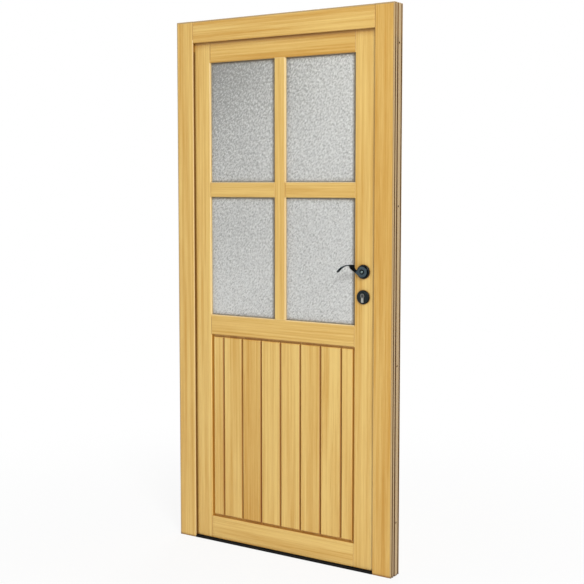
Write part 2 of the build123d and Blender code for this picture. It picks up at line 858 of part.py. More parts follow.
def board(low_x, high_x, at_hinge_stile, at_lock_stile):
    """One board between two joint lines, with shoulders that leave an open joint round its face."""
    left_front = low_x + (board_edge_joint if at_hinge_stile else board_joint / 2)
    right_front = high_x - (board_edge_joint if at_lock_stile else board_joint / 2)
    left_rear = low_x + board_rear_joint / 2
    right_rear = high_x - board_rear_joint / 2
    right_tip = high_x + (panel_tongue if at_lock_stile else tongue_length - board_joint / 2)
    groove_x = low_x + tongue_length - board_joint / 2 + fit_gap
    left_points = [
        (left_rear, y_tongue_back + fit_gap),
        (groove_x, y_tongue_back + fit_gap),
        (groove_x, y_tongue - fit_gap),
        (left_front, y_tongue - fit_gap),
    ]
    if at_hinge_stile:
        left_points = [
            (left_rear, y_tongue_back),
            (low_x - panel_tongue, y_tongue_back),
            (low_x - panel_tongue, y_tongue),
            (left_front, y_tongue),
        ]
    tongue_end = panel_tongue
    with BuildPart() as member:
        with BuildSketch(Plane.XY.offset(panel_foot - tongue_end)):
            with BuildLine():
                Polyline(
                    (left_rear, y_board_back),
                    *left_points,
                    (left_front, y_board),
                    (right_front, y_board),
                    (right_front, y_tongue),
                    (right_tip, y_tongue),
                    (right_tip, y_tongue_back),
                    (right_rear, y_tongue_back),
                    (right_rear, y_board_back),
                    close=True,
                )
            make_face()
        extrude(amount=panel_top - panel_foot + 2 * tongue_end)
        span = (low_x - panel_groove_depth - overrun, high_x + panel_groove_depth + overrun)
        for edge_z, inward in ((panel_foot, 1), (panel_top, -1)):
            outside = edge_z - inward * (tongue_end + overrun)
            block(
                span,
                (y_board - overrun, y_tongue),
                (outside, edge_z + inward * board_edge_joint),
                Mode.SUBTRACT,
            )
            block(
                span,
                (y_tongue_back, y_board_back + overrun),
                (outside, edge_z + inward * board_rear_joint),
                Mode.SUBTRACT,
            )
        face_edges = member.faces().filter_by(Axis.Y).sort_by(Axis.Y)[0].edges()
        chamfer(face_edges, board_chamfer)
    return member


board_count = len(joint_places) - 1
for index in range(board_count):
    piece = board(
        joint_places[index],
        joint_places[index + 1],
        index == 0,
        index == board_count - 1,
    )
    save(piece, f"board_{index + 1}")

# Hinges: two knuckles on one pin, each with a slanted stud
def knuckle(height, upward, side, bore_gap):
    """Half a hinge: its knuckle stands above or below the joint, its stud slants into the timber."""
    foot = height + upward * hinge_washer_gap / 2
    end = foot + upward * hinge_half_height
    stud_z = height + upward * hinge_half_height / 2
    with BuildPart() as half:
        rod((hinge_x, hinge_y, foot), (hinge_x, hinge_y, end), hinge_radius)
        end_edges = half.edges().filter_by(GeomType.CIRCLE).sort_by(Axis.Z)
        chamfer(end_edges[-1] if upward > 0 else end_edges[0], hinge_cap)
        rod(
            (hinge_x, hinge_y, stud_z),
            (hinge_x + side * stud_side, hinge_y - stud_side, stud_z),
            hinge_stud_radius,
        )
        rod(
            (hinge_x, hinge_y, foot - upward * overrun),
            (hinge_x, hinge_y, foot + upward * (hinge_pin_reach + bore_gap)),
            hinge_pin_radius + bore_gap,
            Mode.SUBTRACT,
        )
    return half


for name, height in zip(hinge_names, hinge_heights):
    save(knuckle(height, -1, -1, 0), f"hinge_{name}_frame_half")
    save(knuckle(height, 1, 1, pin_gap), f"hinge_{name}_leaf_half")

with BuildPart() as hinge_pins:
    for height in hinge_heights:
        reach = hinge_pin_reach + hinge_washer_gap / 2
        rod((hinge_x, hinge_y, height - reach), (hinge_x, hinge_y, height + reach), hinge_pin_radius)
save(hinge_pins, "hinge_pins")

# Lock
y_cam = y_middle - cam_width / 2
cam_room = cam_radius + run_gap

with BuildPart() as lock_case:
    block((case_back, case_front), (y_case, y_case_back), (case_foot, case_head))
    corner_edges = lock_case.edges().filter_by(Axis.Y)
    fillet(corner_edges, faceplate_thickness)
    rod(
        (spindle_x, y_case - overrun, spindle_height),
        (spindle_x, y_case_back + overrun, spindle_height),
        follower_radius + run_gap,
        Mode.SUBTRACT,
    )
    latch_room = latch_tail + latch_throw + run_gap
    block(
        (case_front - latch_room, case_front + overrun),
        (y_middle - latch_thickness / 2 - run_gap, y_middle + latch_thickness / 2 + run_gap),
        (latch_z - latch_height / 2 - run_gap, latch_z + latch_height / 2 + run_gap),
        Mode.SUBTRACT,
    )
    block(
        (leaf_x - bolt_length - 2 * run_gap, case_front + overrun),
        (y_middle - bolt_thickness / 2 - run_gap, y_middle + bolt_thickness / 2 + run_gap),
        (bolt_z - bolt_height / 2 - run_gap, bolt_z + bolt_height / 2 + run_gap),
        Mode.SUBTRACT,
    )
    with BuildSketch(front_plane(y_case - overrun)):
        with Locations((spindle_x, cylinder_z)):
            euro_profile(fit_gap)
    extrude(amount=-(lock_case_thickness + 2 * overrun), mode=Mode.SUBTRACT)
    rod(
        (spindle_x, y_cam - run_gap, cylinder_z),
        (spindle_x, y_cam + cam_width + run_gap, cylinder_z),
        cam_room,
        Mode.SUBTRACT,
    )
save(lock_case, "lock_case")

with BuildPart() as lock_faceplate:
    block(
        (case_front, leaf_x),
        (y_middle - faceplate_width / 2, y_middle + faceplate_width / 2),
        (case_middle - faceplate_height / 2, case_middle + faceplate_height / 2),
    )
    for middle, height, thickness in (
        (latch_z, latch_height, latch_thickness),
        (bolt_z, bolt_height, bolt_thickness),
    ):
        block(
            (case_front - overrun, leaf_x + overrun),
            (y_middle - thickness / 2 - run_gap, y_middle + thickness / 2 + run_gap),
            (middle - height / 2 - run_gap, middle + height / 2 + run_gap),
            Mode.SUBTRACT,
        )
    for z in plate_screw_heights(case_middle, faceplate_height):
        countersink((leaf_x, y_middle, z), (leaf_x - plate_screw_length, y_middle, z), Mode.SUBTRACT)
save(lock_faceplate, "lock_faceplate")

with BuildPart() as faceplate_screws:
    for z in plate_screw_heights(case_middle, faceplate_height):
        countersink((leaf_x, y_middle, z), (leaf_x - plate_screw_length, y_middle, z))
save(faceplate_screws, "faceplate_screws")

# The latch's nose is bevelled on the outside, where it meets the strike plate as the door shuts
latch_tip = leaf_x + latch_throw
with BuildPart() as latch_bolt:
    with BuildSketch(Plane.XY.offset(latch_z - latch_height / 2)):
        with BuildLine():
            Polyline(
                (case_front - latch_tail, y_middle - latch_thickness / 2),
                (leaf_x, y_middle - latch_thickness / 2),
                (latch_tip, y_middle + latch_thickness / 2 - latch_nose),
                (latch_tip, y_middle + latch_thickness / 2),
                (case_front - latch_tail, y_middle + latch_thickness / 2),
                close=True,
            )
        make_face()
    extrude(amount=latch_height)
save(latch_bolt, "latch_bolt")

with BuildPart() as dead_bolt:
    block(
        (leaf_x - bolt_length - run_gap, leaf_x - run_gap),
        (y_middle - bolt_thickness / 2, y_middle + bolt_thickness / 2),
        (bolt_z - bolt_height / 2, bolt_z + bolt_height / 2),
    )
    nose_edges = dead_bolt.faces().sort_by(Axis.X)[-1].edges()
    chamfer(nose_edges, strike_pocket_room / 4)
save(dead_bolt, "dead_bolt")

with BuildPart() as follower:
    rod((spindle_x, y_case, spindle_height), (spindle_x, y_case_back, spindle_height), follower_radius)
    half_spindle = spindle_side / 2
    block(
        (spindle_x - half_spindle, spindle_x + half_spindle),
        (y_case - overrun, y_case_back + overrun),
        (spindle_height - half_spindle, spindle_height + half_spindle),
        Mode.SUBTRACT,
    )
save(follower, "follower")

# Roses
def rose(y_seat, outward, height):
    """A turned rose that sits on a face of the leaf."""
    with BuildPart() as disc:
        rod(
            (spindle_x, y_seat, height),
            (spindle_x, y_seat + outward * rose_thickness, height),
            rose_radius,
        )
        rim = disc.edges().filter_by(GeomType.CIRCLE).sort_by(Axis.Y)
        chamfer(rim[0] if outward < 0 else rim[-1], rose_edge)
    return disc


for name, y_seat, outward in (("outer", y_leaf, -1), ("inner", y_back, 1)):
    handle_disc = rose(y_seat, outward, spindle_height)
    with BuildPart() as handle_rose:
        add(handle_disc.part)
        rod(
            (spindle_x, y_seat - outward * overrun, spindle_height),
            (spindle_x, y_seat + outward * (rose_thickness + overrun), spindle_height),
            neck_radius + run_gap,
            Mode.SUBTRACT,
        )
    save(handle_rose, f"{name}_rose")

    key_disc = rose(y_seat, outward, key_rose_z)
    with BuildPart() as key_rose:
        add(key_disc.part)
        with BuildSketch(front_plane(y_seat - outward * overrun)):
            with Locations((spindle_x, cylinder_z)):
                euro_profile(fit_gap)
        extrude(amount=-outward * (rose_thickness + 2 * overrun), mode=Mode.SUBTRACT)
    save(key_rose, f"{name}_key_rose")

# Profile cylinder, with a gap in its middle where the plug's cam turns
y_cylinder = y_leaf - rose_thickness - cylinder_stand
y_cylinder_back = y_back + rose_thickness + cylinder_stand
cylinder_length = y_cylinder_back - y_cylinder

with BuildPart() as cylinder_body:
    with BuildSketch(front_plane(y_cylinder)):
        with Locations((spindle_x, cylinder_z)):
            euro_profile()
            Circle(plug_radius + plug_gap, mode=Mode.SUBTRACT)
    extrude(amount=-cylinder_length)
    rod(
        (spindle_x, y_cam - run_gap, cylinder_z),
        (spindle_x, y_cam + cam_width + run_gap, cylinder_z),
        cam_room,
        Mode.SUBTRACT,
    )
save(cylinder_body, "cylinder_body")

with BuildPart() as cylinder_plug:
    rod((spindle_x, y_cylinder, cylinder_z), (spindle_x, y_cylinder_back, cylinder_z), plug_radius)
    with BuildSketch(front_plane(y_cam)):
        with Locations((spindle_x, cylinder_z)):
            Circle(cylinder_radius)
        with Locations((spindle_x, cylinder_z - cam_radius / 2)):
            Rectangle(plug_radius, cam_radius)
        with Locations((spindle_x, cylinder_z)):
            Circle(cam_radius, mode=Mode.INTERSECT)
    extrude(amount=-cam_width)
    for y_face, inward in ((y_cylinder, 1), (y_cylinder_back, -1)):
        block(
            (spindle_x - keyway_width / 2, spindle_x + keyway_width / 2),
            (y_face - inward * overrun, y_face + inward * keyway_depth),
            (cylinder_z - keyway_height / 2, cylinder_z + keyway_height / 2),
            Mode.SUBTRACT,
        )
save(cylinder_plug, "cylinder_plug")

# Lever: a flat comma on the rose, whose tail twists out and up and folds over into a drooping blade
hub_foot = rose_thickness + run_gap
hub_face = hub_foot + hub_thickness
fold_middle = fold_reach + fold_skew / 2
fold_end = fold_reach + fold_skew
fold_length = (fold_skew**2 + blade_width**2) ** 0.5
blade_run = lever_reach - fold_end
blade_radius = (blade_run**2 + lever_droop**2) / (2 * lever_droop)
blade_turn = degrees(atan2(blade_run, blade_radius - lever_droop))
y_blade = y_leaf - lever_standoff


def lever_point(left, up, out):
    """A point given from the spindle's axis on the outside face."""
    return (spindle_x - left, y_leaf - out, spindle_height + up)


def lever_line(left, up, out):
    """A direction given the same way."""
    return (-left, -out, up)


with BuildPart() as blade:
    with BuildSketch(front_plane(y_blade + blade_width)):
        with BuildLine():
            middle = (spindle_x - fold_end, spindle_height + lever_rise - blade_radius)
            upper = CenterArc(middle, blade_radius + blade_thickness / 2, 90, blade_turn)
            lower = CenterArc(middle, blade_radius - blade_thickness / 2, 90, blade_turn)
            Line(upper @ 1, lower @ 1)
            Polyline(
                upper @ 0,
                (spindle_x - fold_reach, spindle_height + lever_rise + blade_thickness / 2),
                (spindle_x - fold_reach, spindle_height + lever_rise - blade_thickness / 2),
                lower @ 0,
            )
        make_face()
    extrude(amount=2 * blade_width)
    with BuildSketch(Plane.XY.offset(spindle_height - lever_droop)):
        with BuildLine():
            Polyline(
                (spindle_x - fold_reach, y_blade + blade_width / 2),
                (spindle_x - lever_reach - overrun, y_blade + blade_width / 2),
                (spindle_x - lever_reach - overrun, y_blade - blade_width / 2),
                (spindle_x - fold_end, y_blade - blade_width / 2),
                close=True,
            )
        make_face()
    extrude(amount=lever_droop + lever_rise + overrun, mode=Mode.INTERSECT)
    tip = blade.faces().sort_by(Axis.X)[0]
    fillet(tip.edges().filter_by(Axis.Y, reverse=True), blade_tip_corner)

tail_middle = (tail_reach - tail_width / 4, tail_rise - tail_width / 4, (hub_foot + hub_face) / 2)
fold_place = (fold_middle, lever_rise, lever_standoff)

with BuildPart() as neck:
    for left, up, out, across, run, width_share, thickness_share in neck_shares:
        place = [
            start + share * (end - start)
            for start, share, end in zip(tail_middle, (left, up, out), fold_place)
        ]
        with BuildSketch(Plane(lever_point(*place), x_dir=lever_line(*across), z_dir=lever_line(*run))):
            Rectangle(tail_width * width_share, tail_thickness * thickness_share)
    fold_line = lever_line(-fold_skew, 0, -blade_width)
    with BuildSketch(Plane(lever_point(*fold_place), x_dir=fold_line, z_dir=lever_line(0, 1, 0))):
        Rectangle(fold_length, blade_thickness)
    loft()

with BuildPart() as hub:
    with BuildSketch(front_plane(y_leaf - hub_foot)):
        with Locations((spindle_x, spindle_height)):
            Circle(hub_radius)
        with BuildLine():
            tail_corner = tail_width * 0.5**0.5 / 2
            (foot_left, foot_up), (head_left, head_up) = tail_root_shares
            Polyline(
                (spindle_x, spindle_height),
                (spindle_x + foot_left * hub_radius, spindle_height + foot_up * hub_radius),
                (spindle_x - tail_reach - tail_corner, spindle_height + tail_rise - tail_corner),
                (spindle_x - tail_reach + tail_corner, spindle_height + tail_rise + tail_corner),
                (spindle_x + head_left * hub_radius, spindle_height + head_up * hub_radius),
                close=True,
            )
        make_face()
    extrude(amount=hub_thickness)
    hub_rim = hub.edges().group_by(Axis.Y)[0].filter_by(GeomType.CIRCLE)
    fillet(hub_rim, hub_edge)

with BuildPart() as outer_lever:
    rod(lever_point(0, 0, 0), lever_point(0, 0, hub_face), neck_radius)
    add(hub.part)
    rod(
        lever_point(0, 0, hub_face - hub_ring_depth),
        lever_point(0, 0, hub_face + overrun),
        hub_ring_radius,
        Mode.SUBTRACT,
    )
    with BuildPart(mode=Mode.PRIVATE) as boss:
        rod(lever_point(0, 0, hub_foot), lever_point(0, 0, hub_face + hub_boss_height), hub_boss_radius)
        boss_rim = boss.edges().sort_by(Axis.Y)[0]
        fillet(boss_rim, boss_edge)
    add(boss.part)
    add(neck.part)
    add(blade.part)
    block(
        (spindle_x - half_spindle, spindle_x + half_spindle),
        (y_leaf + overrun, y_leaf - spindle_socket),
        (spindle_height - half_spindle, spindle_height + half_spindle),
        Mode.SUBTRACT,
    )
save(outer_lever, "outer_lever")

with BuildPart() as inner_lever:
    mirror(outer_lever.part, about=front_plane(y_middle))
save(inner_lever, "inner_lever")

# Square spindle, from socket to socket
with BuildPart() as spindle:
    block(
        (spindle_x - half_spindle, spindle_x + half_spindle),
        (y_leaf - spindle_socket, y_back + spindle_socket),
        (spindle_height - half_spindle, spindle_height + half_spindle),
    )
save(spindle, "spindle")
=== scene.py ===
"""Dresses a timber side entrance door, hung in its frame, for a studio picture.

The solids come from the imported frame. This file gives every surface its finish, models the rolled glass
and the forged furniture as meshes, and sets the floor, the lamps and the camera.
"""
import math

import bmesh
import bpy
from bpy.props import FloatProperty, FloatVectorProperty, PointerProperty
from bpy.types import Operator, Panel, PropertyGroup
from mathutils import Euler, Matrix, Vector, noise


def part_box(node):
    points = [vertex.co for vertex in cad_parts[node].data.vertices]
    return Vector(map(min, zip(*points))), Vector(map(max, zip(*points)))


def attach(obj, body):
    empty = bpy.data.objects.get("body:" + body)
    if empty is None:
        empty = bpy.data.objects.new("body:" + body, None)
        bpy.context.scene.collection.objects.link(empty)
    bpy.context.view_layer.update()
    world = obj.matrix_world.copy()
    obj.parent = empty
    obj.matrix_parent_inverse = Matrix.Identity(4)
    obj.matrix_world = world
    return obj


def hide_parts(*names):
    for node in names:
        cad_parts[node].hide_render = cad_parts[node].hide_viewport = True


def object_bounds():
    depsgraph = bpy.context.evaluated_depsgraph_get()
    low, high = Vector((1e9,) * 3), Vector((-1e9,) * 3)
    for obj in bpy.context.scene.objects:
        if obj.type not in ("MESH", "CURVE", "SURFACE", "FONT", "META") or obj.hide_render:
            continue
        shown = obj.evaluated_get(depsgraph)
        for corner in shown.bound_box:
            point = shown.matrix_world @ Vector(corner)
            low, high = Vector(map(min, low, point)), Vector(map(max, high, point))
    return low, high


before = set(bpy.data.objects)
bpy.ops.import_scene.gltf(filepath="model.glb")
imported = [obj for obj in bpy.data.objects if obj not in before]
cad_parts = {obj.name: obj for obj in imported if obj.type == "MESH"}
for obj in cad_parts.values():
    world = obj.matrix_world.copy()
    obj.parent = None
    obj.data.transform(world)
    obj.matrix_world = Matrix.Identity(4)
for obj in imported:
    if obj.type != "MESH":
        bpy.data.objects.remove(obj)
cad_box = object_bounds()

bl_info = {
    "name": "Side entrance door",
    "version": (1, 0, 0),
    "blender": (4, 5, 0),
    "location": "View3D > Sidebar > Door",
    "description": "Finishes, rolled glass, forged furniture and studio for a timber door in its frame",
    "category": "Object",
}

# Pieces of the door, by what they are made of and how their grain runs
PANES = ("upper_left", "upper_right", "lower_left", "lower_right")
HINGE_PLACES = ("bottom", "middle", "top")
BOARD_COUNT = 8
UPRIGHT_TIMBER = ["hinge_jamb", "lock_jamb", "hinge_stile", "lock_stile", "upright_bar"]
FRAME_TIMBER = ["hinge_jamb", "lock_jamb", "frame_head"]
LEVEL_TIMBER = ["frame_head", "top_rail", "mid_rail", "bottom_rail", "cross_bar_left", "cross_bar_right"]
BOARDS = [f"board_{number}" for number in range(1, BOARD_COUNT + 1)]
BEADS = [f"glazing_beads_{pane}" for pane in PANES]
FORGED = ["outer_lever", "inner_lever", "outer_rose", "inner_rose", "outer_key_rose", "inner_key_rose"]
HINGES = [f"hinge_{place}_{half}_half" for place in HINGE_PLACES for half in ("frame", "leaf")] + ["hinge_pins"]
LOCK_STEEL = [
    "lock_case", "lock_faceplate", "strike_plate", "spindle", "follower", "latch_bolt", "dead_bolt",
]
RUBBER = ["frame_gasket", "foot_seal"]

# A screw's loops as shares of its head's radius: radius and depth, then the cross recess's reach, half width and depth
SCREW_LOOPS = ((0.92, 0.0), (0.955, 0.045), (0.5, 0.5), (0.5, 5.4), (0.1, 6.2))
RECESS_LOOPS = ((0.6, 0.15, 0.0), (0.36, 0.09, 0.42))
SCREW_CORNERS = 32
SCREW_SHARP = math.radians(35)

# How far, in metres, a surface looks for what shuts it in
JOINT_REACH, HEAD_SHADOW_REACH, ARRIS_WIDTH = 0.013, 0.05, 0.0022
CREVICE_REACH, EDGE_WIDTH = 0.006, 0.0025
RIM_REACH, SHADE_LINE_REACH = 0.016, 0.019

# Timber: how bare the glazing rebates stay and how raw the wall side is, then shares of painted shade in the frame's
# reveal and of painted shadow under its head, and of stain and painted shade in the vees between the boards
REBATE_BARE, WALL_RAW = 0.85, 0.8
REVEAL_SHADE, HEAD_SHADE, VEE_STAIN_AND_SHADE = 0.65, 0.4, 0.33

# Ways to look for shade: up under the frame's head, and across the glass to the lock side
UNDER_HEAD = (0.0, -0.4, 0.92)
TO_LOCK_SIDE = (0.94, -0.3, 0.15)

# Glass: its refraction, how the relief's marks are stretched along and across their slant, and where edges stay sharp
GLASS_IOR = 1.5
RELIEF_STRETCH = (0.75, 1.35)
PANE_SHARP = math.radians(50)

# Forged iron: merging distance and smoothing of the worn mesh, and the hammer marks as (marks per metre, share)
WELD_DISTANCE = 1e-5
SMOOTH_SHARE, SMOOTH_ROUNDS = 0.5, 6
HAMMER_MARKS = ((160.0, 0.65), (420.0, 0.35))
HAMMER_LEVEL = 0.15

# Brushing of metal, as stretch along X, Y and Z
UNBRUSHED, UP_BRUSHED, DEEP_BRUSHED, LEVEL_BRUSHED = (1, 1, 1), (1, 1, 0.02), (1, 0.03, 1), (0.02, 1, 1)

# Fixed tones: painted shade of the flanks and of the lever's ring, dark crevices, bright edges, the lever's and foot's
# gloss
FLANK_SHADE, RING_SHADE = (0.006, 0.007, 0.008, 1.0), (0.004, 0.005, 0.006, 1.0)
CREVICE_DARK, EDGE_BRIGHT = (0.004, 0.004, 0.004, 1.0), (0.5, 0.54, 0.58, 1.0)
LEVER_GLOSS, FOOT_GLOSS = (0.2, 0.22, 0.24, 1.0), 0.12

# Metals as roughness and its spread, brushing, patches per metre, metallic share and depth of the dents
METAL_FINISHES = {
    "Spacer aluminium": (0.4, 0.2, UP_BRUSHED, 40.0, 1.0, 0.00005),
    "Rubbed black iron": (0.23, 0.1, UNBRUSHED, 70.0, 0.9, 0.0002),
    "Black iron": (0.3, 0.12, UNBRUSHED, 70.0, 0.9, 0.0002),
    "Zinc hinges": (0.3, 0.2, UP_BRUSHED, 50.0, 1.0, 0.00006),
    "Zinc lock steel": (0.34, 0.25, UP_BRUSHED, 35.0, 1.0, 0.00006),
    "Screw steel": (0.3, 0.2, UNBRUSHED, 120.0, 1.0, 0.00004),
    "Satin nickel": (0.26, 0.2, DEEP_BRUSHED, 90.0, 1.0, 0.00005),
    "Worn nickel plug": (0.34, 0.2, DEEP_BRUSHED, 120.0, 1.0, 0.00005),
    "Black aluminium": (0.5, 0.2, LEVEL_BRUSHED, 25.0, 0.2, 0.00006),
}

# Studio: lamps as name, place, aim, size and power setting, half width of the floor and the camera's reach
LAMPS = (
    ("Key lamp", (6.0, -5.6, 6.6), (0, 0, 1.0), (2.2, 2.2), "key_power"),
    ("Strip lamp", (3.4, -2.2, 1.3), (0, 0, 1.05), (0.35, 2.6), "strip_power"),
    ("Back lamp", (-2.6, 6.4, 3.6), (0, 0, 1.0), (3.0, 3.0), "back_power"),
)
FLOOR_HALF = 40.0
CAMERA_REACH = 200.0

# How much lighter or darker each board and member is than the middle tone
BOARD_TONE_SHARES = (0.02, 0.04, -0.46, 0.0, 0.04, -0.2, -0.04, 0.0)
MEMBER_TONE_SHARES = {
    "hinge_jamb": -0.15, "lock_jamb": -0.42, "frame_head": -0.24, "hinge_stile": -0.02, "lock_stile": -0.14,
    "top_rail": -0.28, "mid_rail": -0.06, "bottom_rail": 0.05, "upright_bar": -0.05, "cross_bar_left": -0.14,
    "cross_bar_right": -0.12,
}


def linear(red, green, blue):
    """A colour written as 0 to 255 screen values, in the linear values that shaders take."""
    return tuple(
        value / 12.92 if value <= 0.04045 else ((value + 0.055) / 1.055) ** 2.4
        for value in (red / 255, green / 255, blue / 255)
    )


class TimberSettings(PropertyGroup):
    """Colours and grain of the varnished spruce."""

    early_wood: FloatVectorProperty(
        name="Early wood", description="Pale wood between the growth rings", subtype="COLOR",
        default=linear(233, 198, 116), min=0, max=1)
    late_wood: FloatVectorProperty(
        name="Late wood", description="Darker line that ends each growth ring", subtype="COLOR",
        default=linear(200, 147, 52), min=0, max=1)
    # Stain of the leaf: varnish in its joints, and painted shade in its corners
    leaf_stain_and_shade: FloatVectorProperty(
        name="Leaf stain and shade", description="Varnish gathered in the joints of the leaf and its boards, multiplied in",
        subtype="COLOR", default=linear(213, 181, 118), min=0, max=1)
    # Stain of the frame: varnish in joints, and painted shade in the reveal, on the lip and on the leaf's rim
    frame_stain_and_shade: FloatVectorProperty(
        name="Frame stain", description="Varnish gathered in joints and corners", subtype="COLOR",
        default=linear(126, 88, 36), min=0, max=1)
    # Painted highlight on arrises and on slopes that face the light
    arris_highlight: FloatVectorProperty(
        name="Arris", description="Thin pale varnish on the arrises", subtype="COLOR",
        default=linear(241, 217, 166), min=0, max=1)
    raw_wood: FloatVectorProperty(
        name="Raw wood", description="Unvarnished wood on the frame's wall side", subtype="COLOR",
        default=linear(168, 144, 105), min=0, max=1)
    wall_groove: FloatProperty(
        name="Wall side depth", description="How deep the unvarnished wall side reaches", unit="LENGTH",
        default=0.0055, min=0)
    # The stained lip is painted shade along the front of the wall side
    front_lip: FloatProperty(
        name="Front lip", description="Stained lip at the front of the wall side", unit="LENGTH", default=0.0036, min=0)
    # The vees hold stain and painted shade
    vee_margin: FloatProperty(
        name="Vee margin", description="How far the stained vees reach past the end boards' joints", unit="LENGTH",
        default=0.012, min=0)
    ring_spacing: FloatProperty(
        name="Ring spacing", description="Width of one growth ring", unit="LENGTH", default=0.0034, min=0.0005)
    varnish_roughness: FloatProperty(
        name="Varnish roughness", description="Roughness of the satin varnish", subtype="FACTOR",
        default=0.34, min=0, max=1)


class GlassSettings(PropertyGroup):
    """Rolled ornamental glass."""

    tint: FloatVectorProperty(
        name="Tint", description="Colour of the rolled glass", subtype="COLOR",
        default=linear(253, 255, 254), min=0, max=1)
    shade: FloatVectorProperty(
        name="Shade", description="Colour in the hollows of the relief", subtype="COLOR",
        default=linear(170, 172, 171), min=0, max=1)
    # Dust and painted shade along the rim of a pane, where the frame shuts the glass in
    rim: FloatVectorProperty(
        name="Rim shade", description="Dust and edge seal that show along the rim of a pane", subtype="COLOR",
        default=linear(104, 95, 68), min=0, max=1)
    line: FloatVectorProperty(
        name="Shade line", description="Colour of the glass in the frame's shade", subtype="COLOR",
        default=linear(100, 82, 46), min=0, max=1)
    relief: FloatProperty(
        name="Relief depth", description="Depth of the rolled relief", unit="LENGTH", default=0.0009, min=0)
    grain: FloatProperty(
        name="Relief grain", description="Width of one bump of the relief", unit="LENGTH", default=0.0078, min=0.001)
    slant: FloatProperty(
        name="Slant", description="Lean of the relief's long marks", subtype="ANGLE", default=math.radians(40))
    step: FloatProperty(
        name="Mesh step", description="Distance between the mesh points of a pane", unit="LENGTH",
        default=0.0025, min=0.001)


class MetalSettings(PropertyGroup):
    """Forged black iron, satin nickel, zinc-plated steel and black aluminium."""

    iron: FloatVectorProperty(
        name="Black iron", description="Blackened forged iron", subtype="COLOR",
        default=linear(44, 51, 54), min=0, max=1)
    # Lever iron: partly rubbed by hands, partly a painted sheen on the faces that look along Y
    rubbed_iron_and_sheen: FloatVectorProperty(
        name="Rubbed iron and sheen", description="Forged iron where hands have rubbed it", subtype="COLOR",
        default=linear(78, 92, 100), min=0, max=1)
    # Painted highlight on the lever's boss
    boss_highlight: FloatVectorProperty(
        name="Boss highlight", description="Bright spot on the lever's boss", subtype="COLOR",
        default=linear(122, 140, 139), min=0, max=1)
    boss_radius: FloatProperty(
        name="Boss", description="Radius of the bright spot on the lever's boss", unit="LENGTH",
        default=0.0046, min=0)
    # The dark ring round the boss is painted shade
    ring_radius: FloatProperty(
        name="Ring", description="Radius of the dark ring round the boss", unit="LENGTH", default=0.0092, min=0)
    nickel: FloatVectorProperty(
        name="Nickel", description="Satin nickel of the lock cylinder", subtype="COLOR",
        default=linear(176, 176, 170), min=0, max=1)
    zinc: FloatVectorProperty(
        name="Zinc", description="Zinc-plated steel of the hinges and the lock", subtype="COLOR",
        default=linear(196, 200, 206), min=0, max=1)
    hammer_depth: FloatProperty(
        name="Hammer depth", description="Depth of the hammer marks in the iron", unit="LENGTH",
        default=0.00025, min=0)
    softening: FloatProperty(
        name="Mesh step", description="Mesh step of the softened iron", unit="LENGTH", default=0.0007, min=0.0003)


class StageSettings(PropertyGroup):
    """Floor, lamps and camera."""

    floor: FloatVectorProperty(
        name="Floor", description="Colour of the pale floor", subtype="COLOR", default=(0.9, 0.9, 0.9), min=0, max=1)
    ambient: FloatProperty(
        name="Ambient", description="Strength of the even studio light", default=0.50, min=0)
    key_power: FloatProperty(name="Key lamp", description="Power of the key lamp", unit="POWER", default=535, min=0)
    strip_power: FloatProperty(
        name="Strip lamp", description="Power of the tall strip lamp", unit="POWER", default=10, min=0)
    back_power: FloatProperty(
        name="Back lamp", description="Power of the lamp behind the door", unit="POWER", default=150, min=0)
    camera_place: FloatVectorProperty(
        name="Camera", description="Where the camera stands", subtype="TRANSLATION", unit="LENGTH",
        default=(2.3549, -3.5717, 1.4354))
    camera_turn: FloatProperty(
        name="Turn", description="Camera's turn to the left of the door's normal", subtype="ANGLE",
        default=math.radians(32.959))
    camera_drop: FloatProperty(
        name="Drop", description="Camera's tilt below level", subtype="ANGLE", default=math.radians(4.481))
    camera_view: FloatProperty(
        name="View angle", description="Camera's field of view", subtype="ANGLE", default=math.radians(29.302))
    camera_rise: FloatProperty(
        name="Lens rise", description="Vertical shift of the lens", default=-0.033)


class DoorSettings(PropertyGroup):
    """All settings of the door."""

    timber: PointerProperty(type=TimberSettings)
    glass: PointerProperty(type=GlassSettings)
    metal: PointerProperty(type=MetalSettings)
    stage: PointerProperty(type=StageSettings)


# Node helpers


def fill(tree, node, inputs):
    """Links or sets a node's inputs by name or number."""
    for key, value in inputs.items():
        if isinstance(value, bpy.types.NodeSocket):
            tree.links.new(value, node.inputs[key])
        else:
            node.inputs[key].default_value = value


def put(tree, kind, inputs=None, **settings):
    """Adds a node, sets its options, and links or fills its inputs by name or number."""
    node = tree.nodes.new(kind)
    for key, value in settings.items():
        setattr(node, key, value)
    fill(tree, node, inputs or {})
    return node


def calc(tree, operation, first, second=0.0, clamp=False):
    """One sum as a Math node; returns its output."""
    node = put(tree, "ShaderNodeMath", {0: first, 1: second}, operation=operation, use_clamp=clamp)
    return node.outputs[0]


def times(tree, first, second, **options):
    """Product of two values."""
    return calc(tree, "MULTIPLY", first, second, **options)


def plus(tree, first, second, **options):
    """Sum of two values."""
    return calc(tree, "ADD", first, second, **options)


def minus(tree, first, second, **options):
    """Difference of two values."""
    return calc(tree, "SUBTRACT", first, second, **options)


def rest_of(tree, share):
    """What a share leaves of 1."""
    return minus(tree, 1.0, share)


def is_over(tree, value, limit):
    """1 where a value is over a limit, else 0."""
    return calc(tree, "GREATER_THAN", value, limit)


def is_under(tree, value, limit):
    """1 where a value is under a limit, else 0."""
    return calc(tree, "LESS_THAN", value, limit)


def size_of(tree, value):
    """A value without its sign."""
    return calc(tree, "ABSOLUTE", value)


def vector_calc(tree, operation, first, second):
    """One sum of vectors; returns its output."""
    node = put(tree, "ShaderNodeVectorMath", {0: first, 1: second}, operation=operation)
    return node.outputs[0]


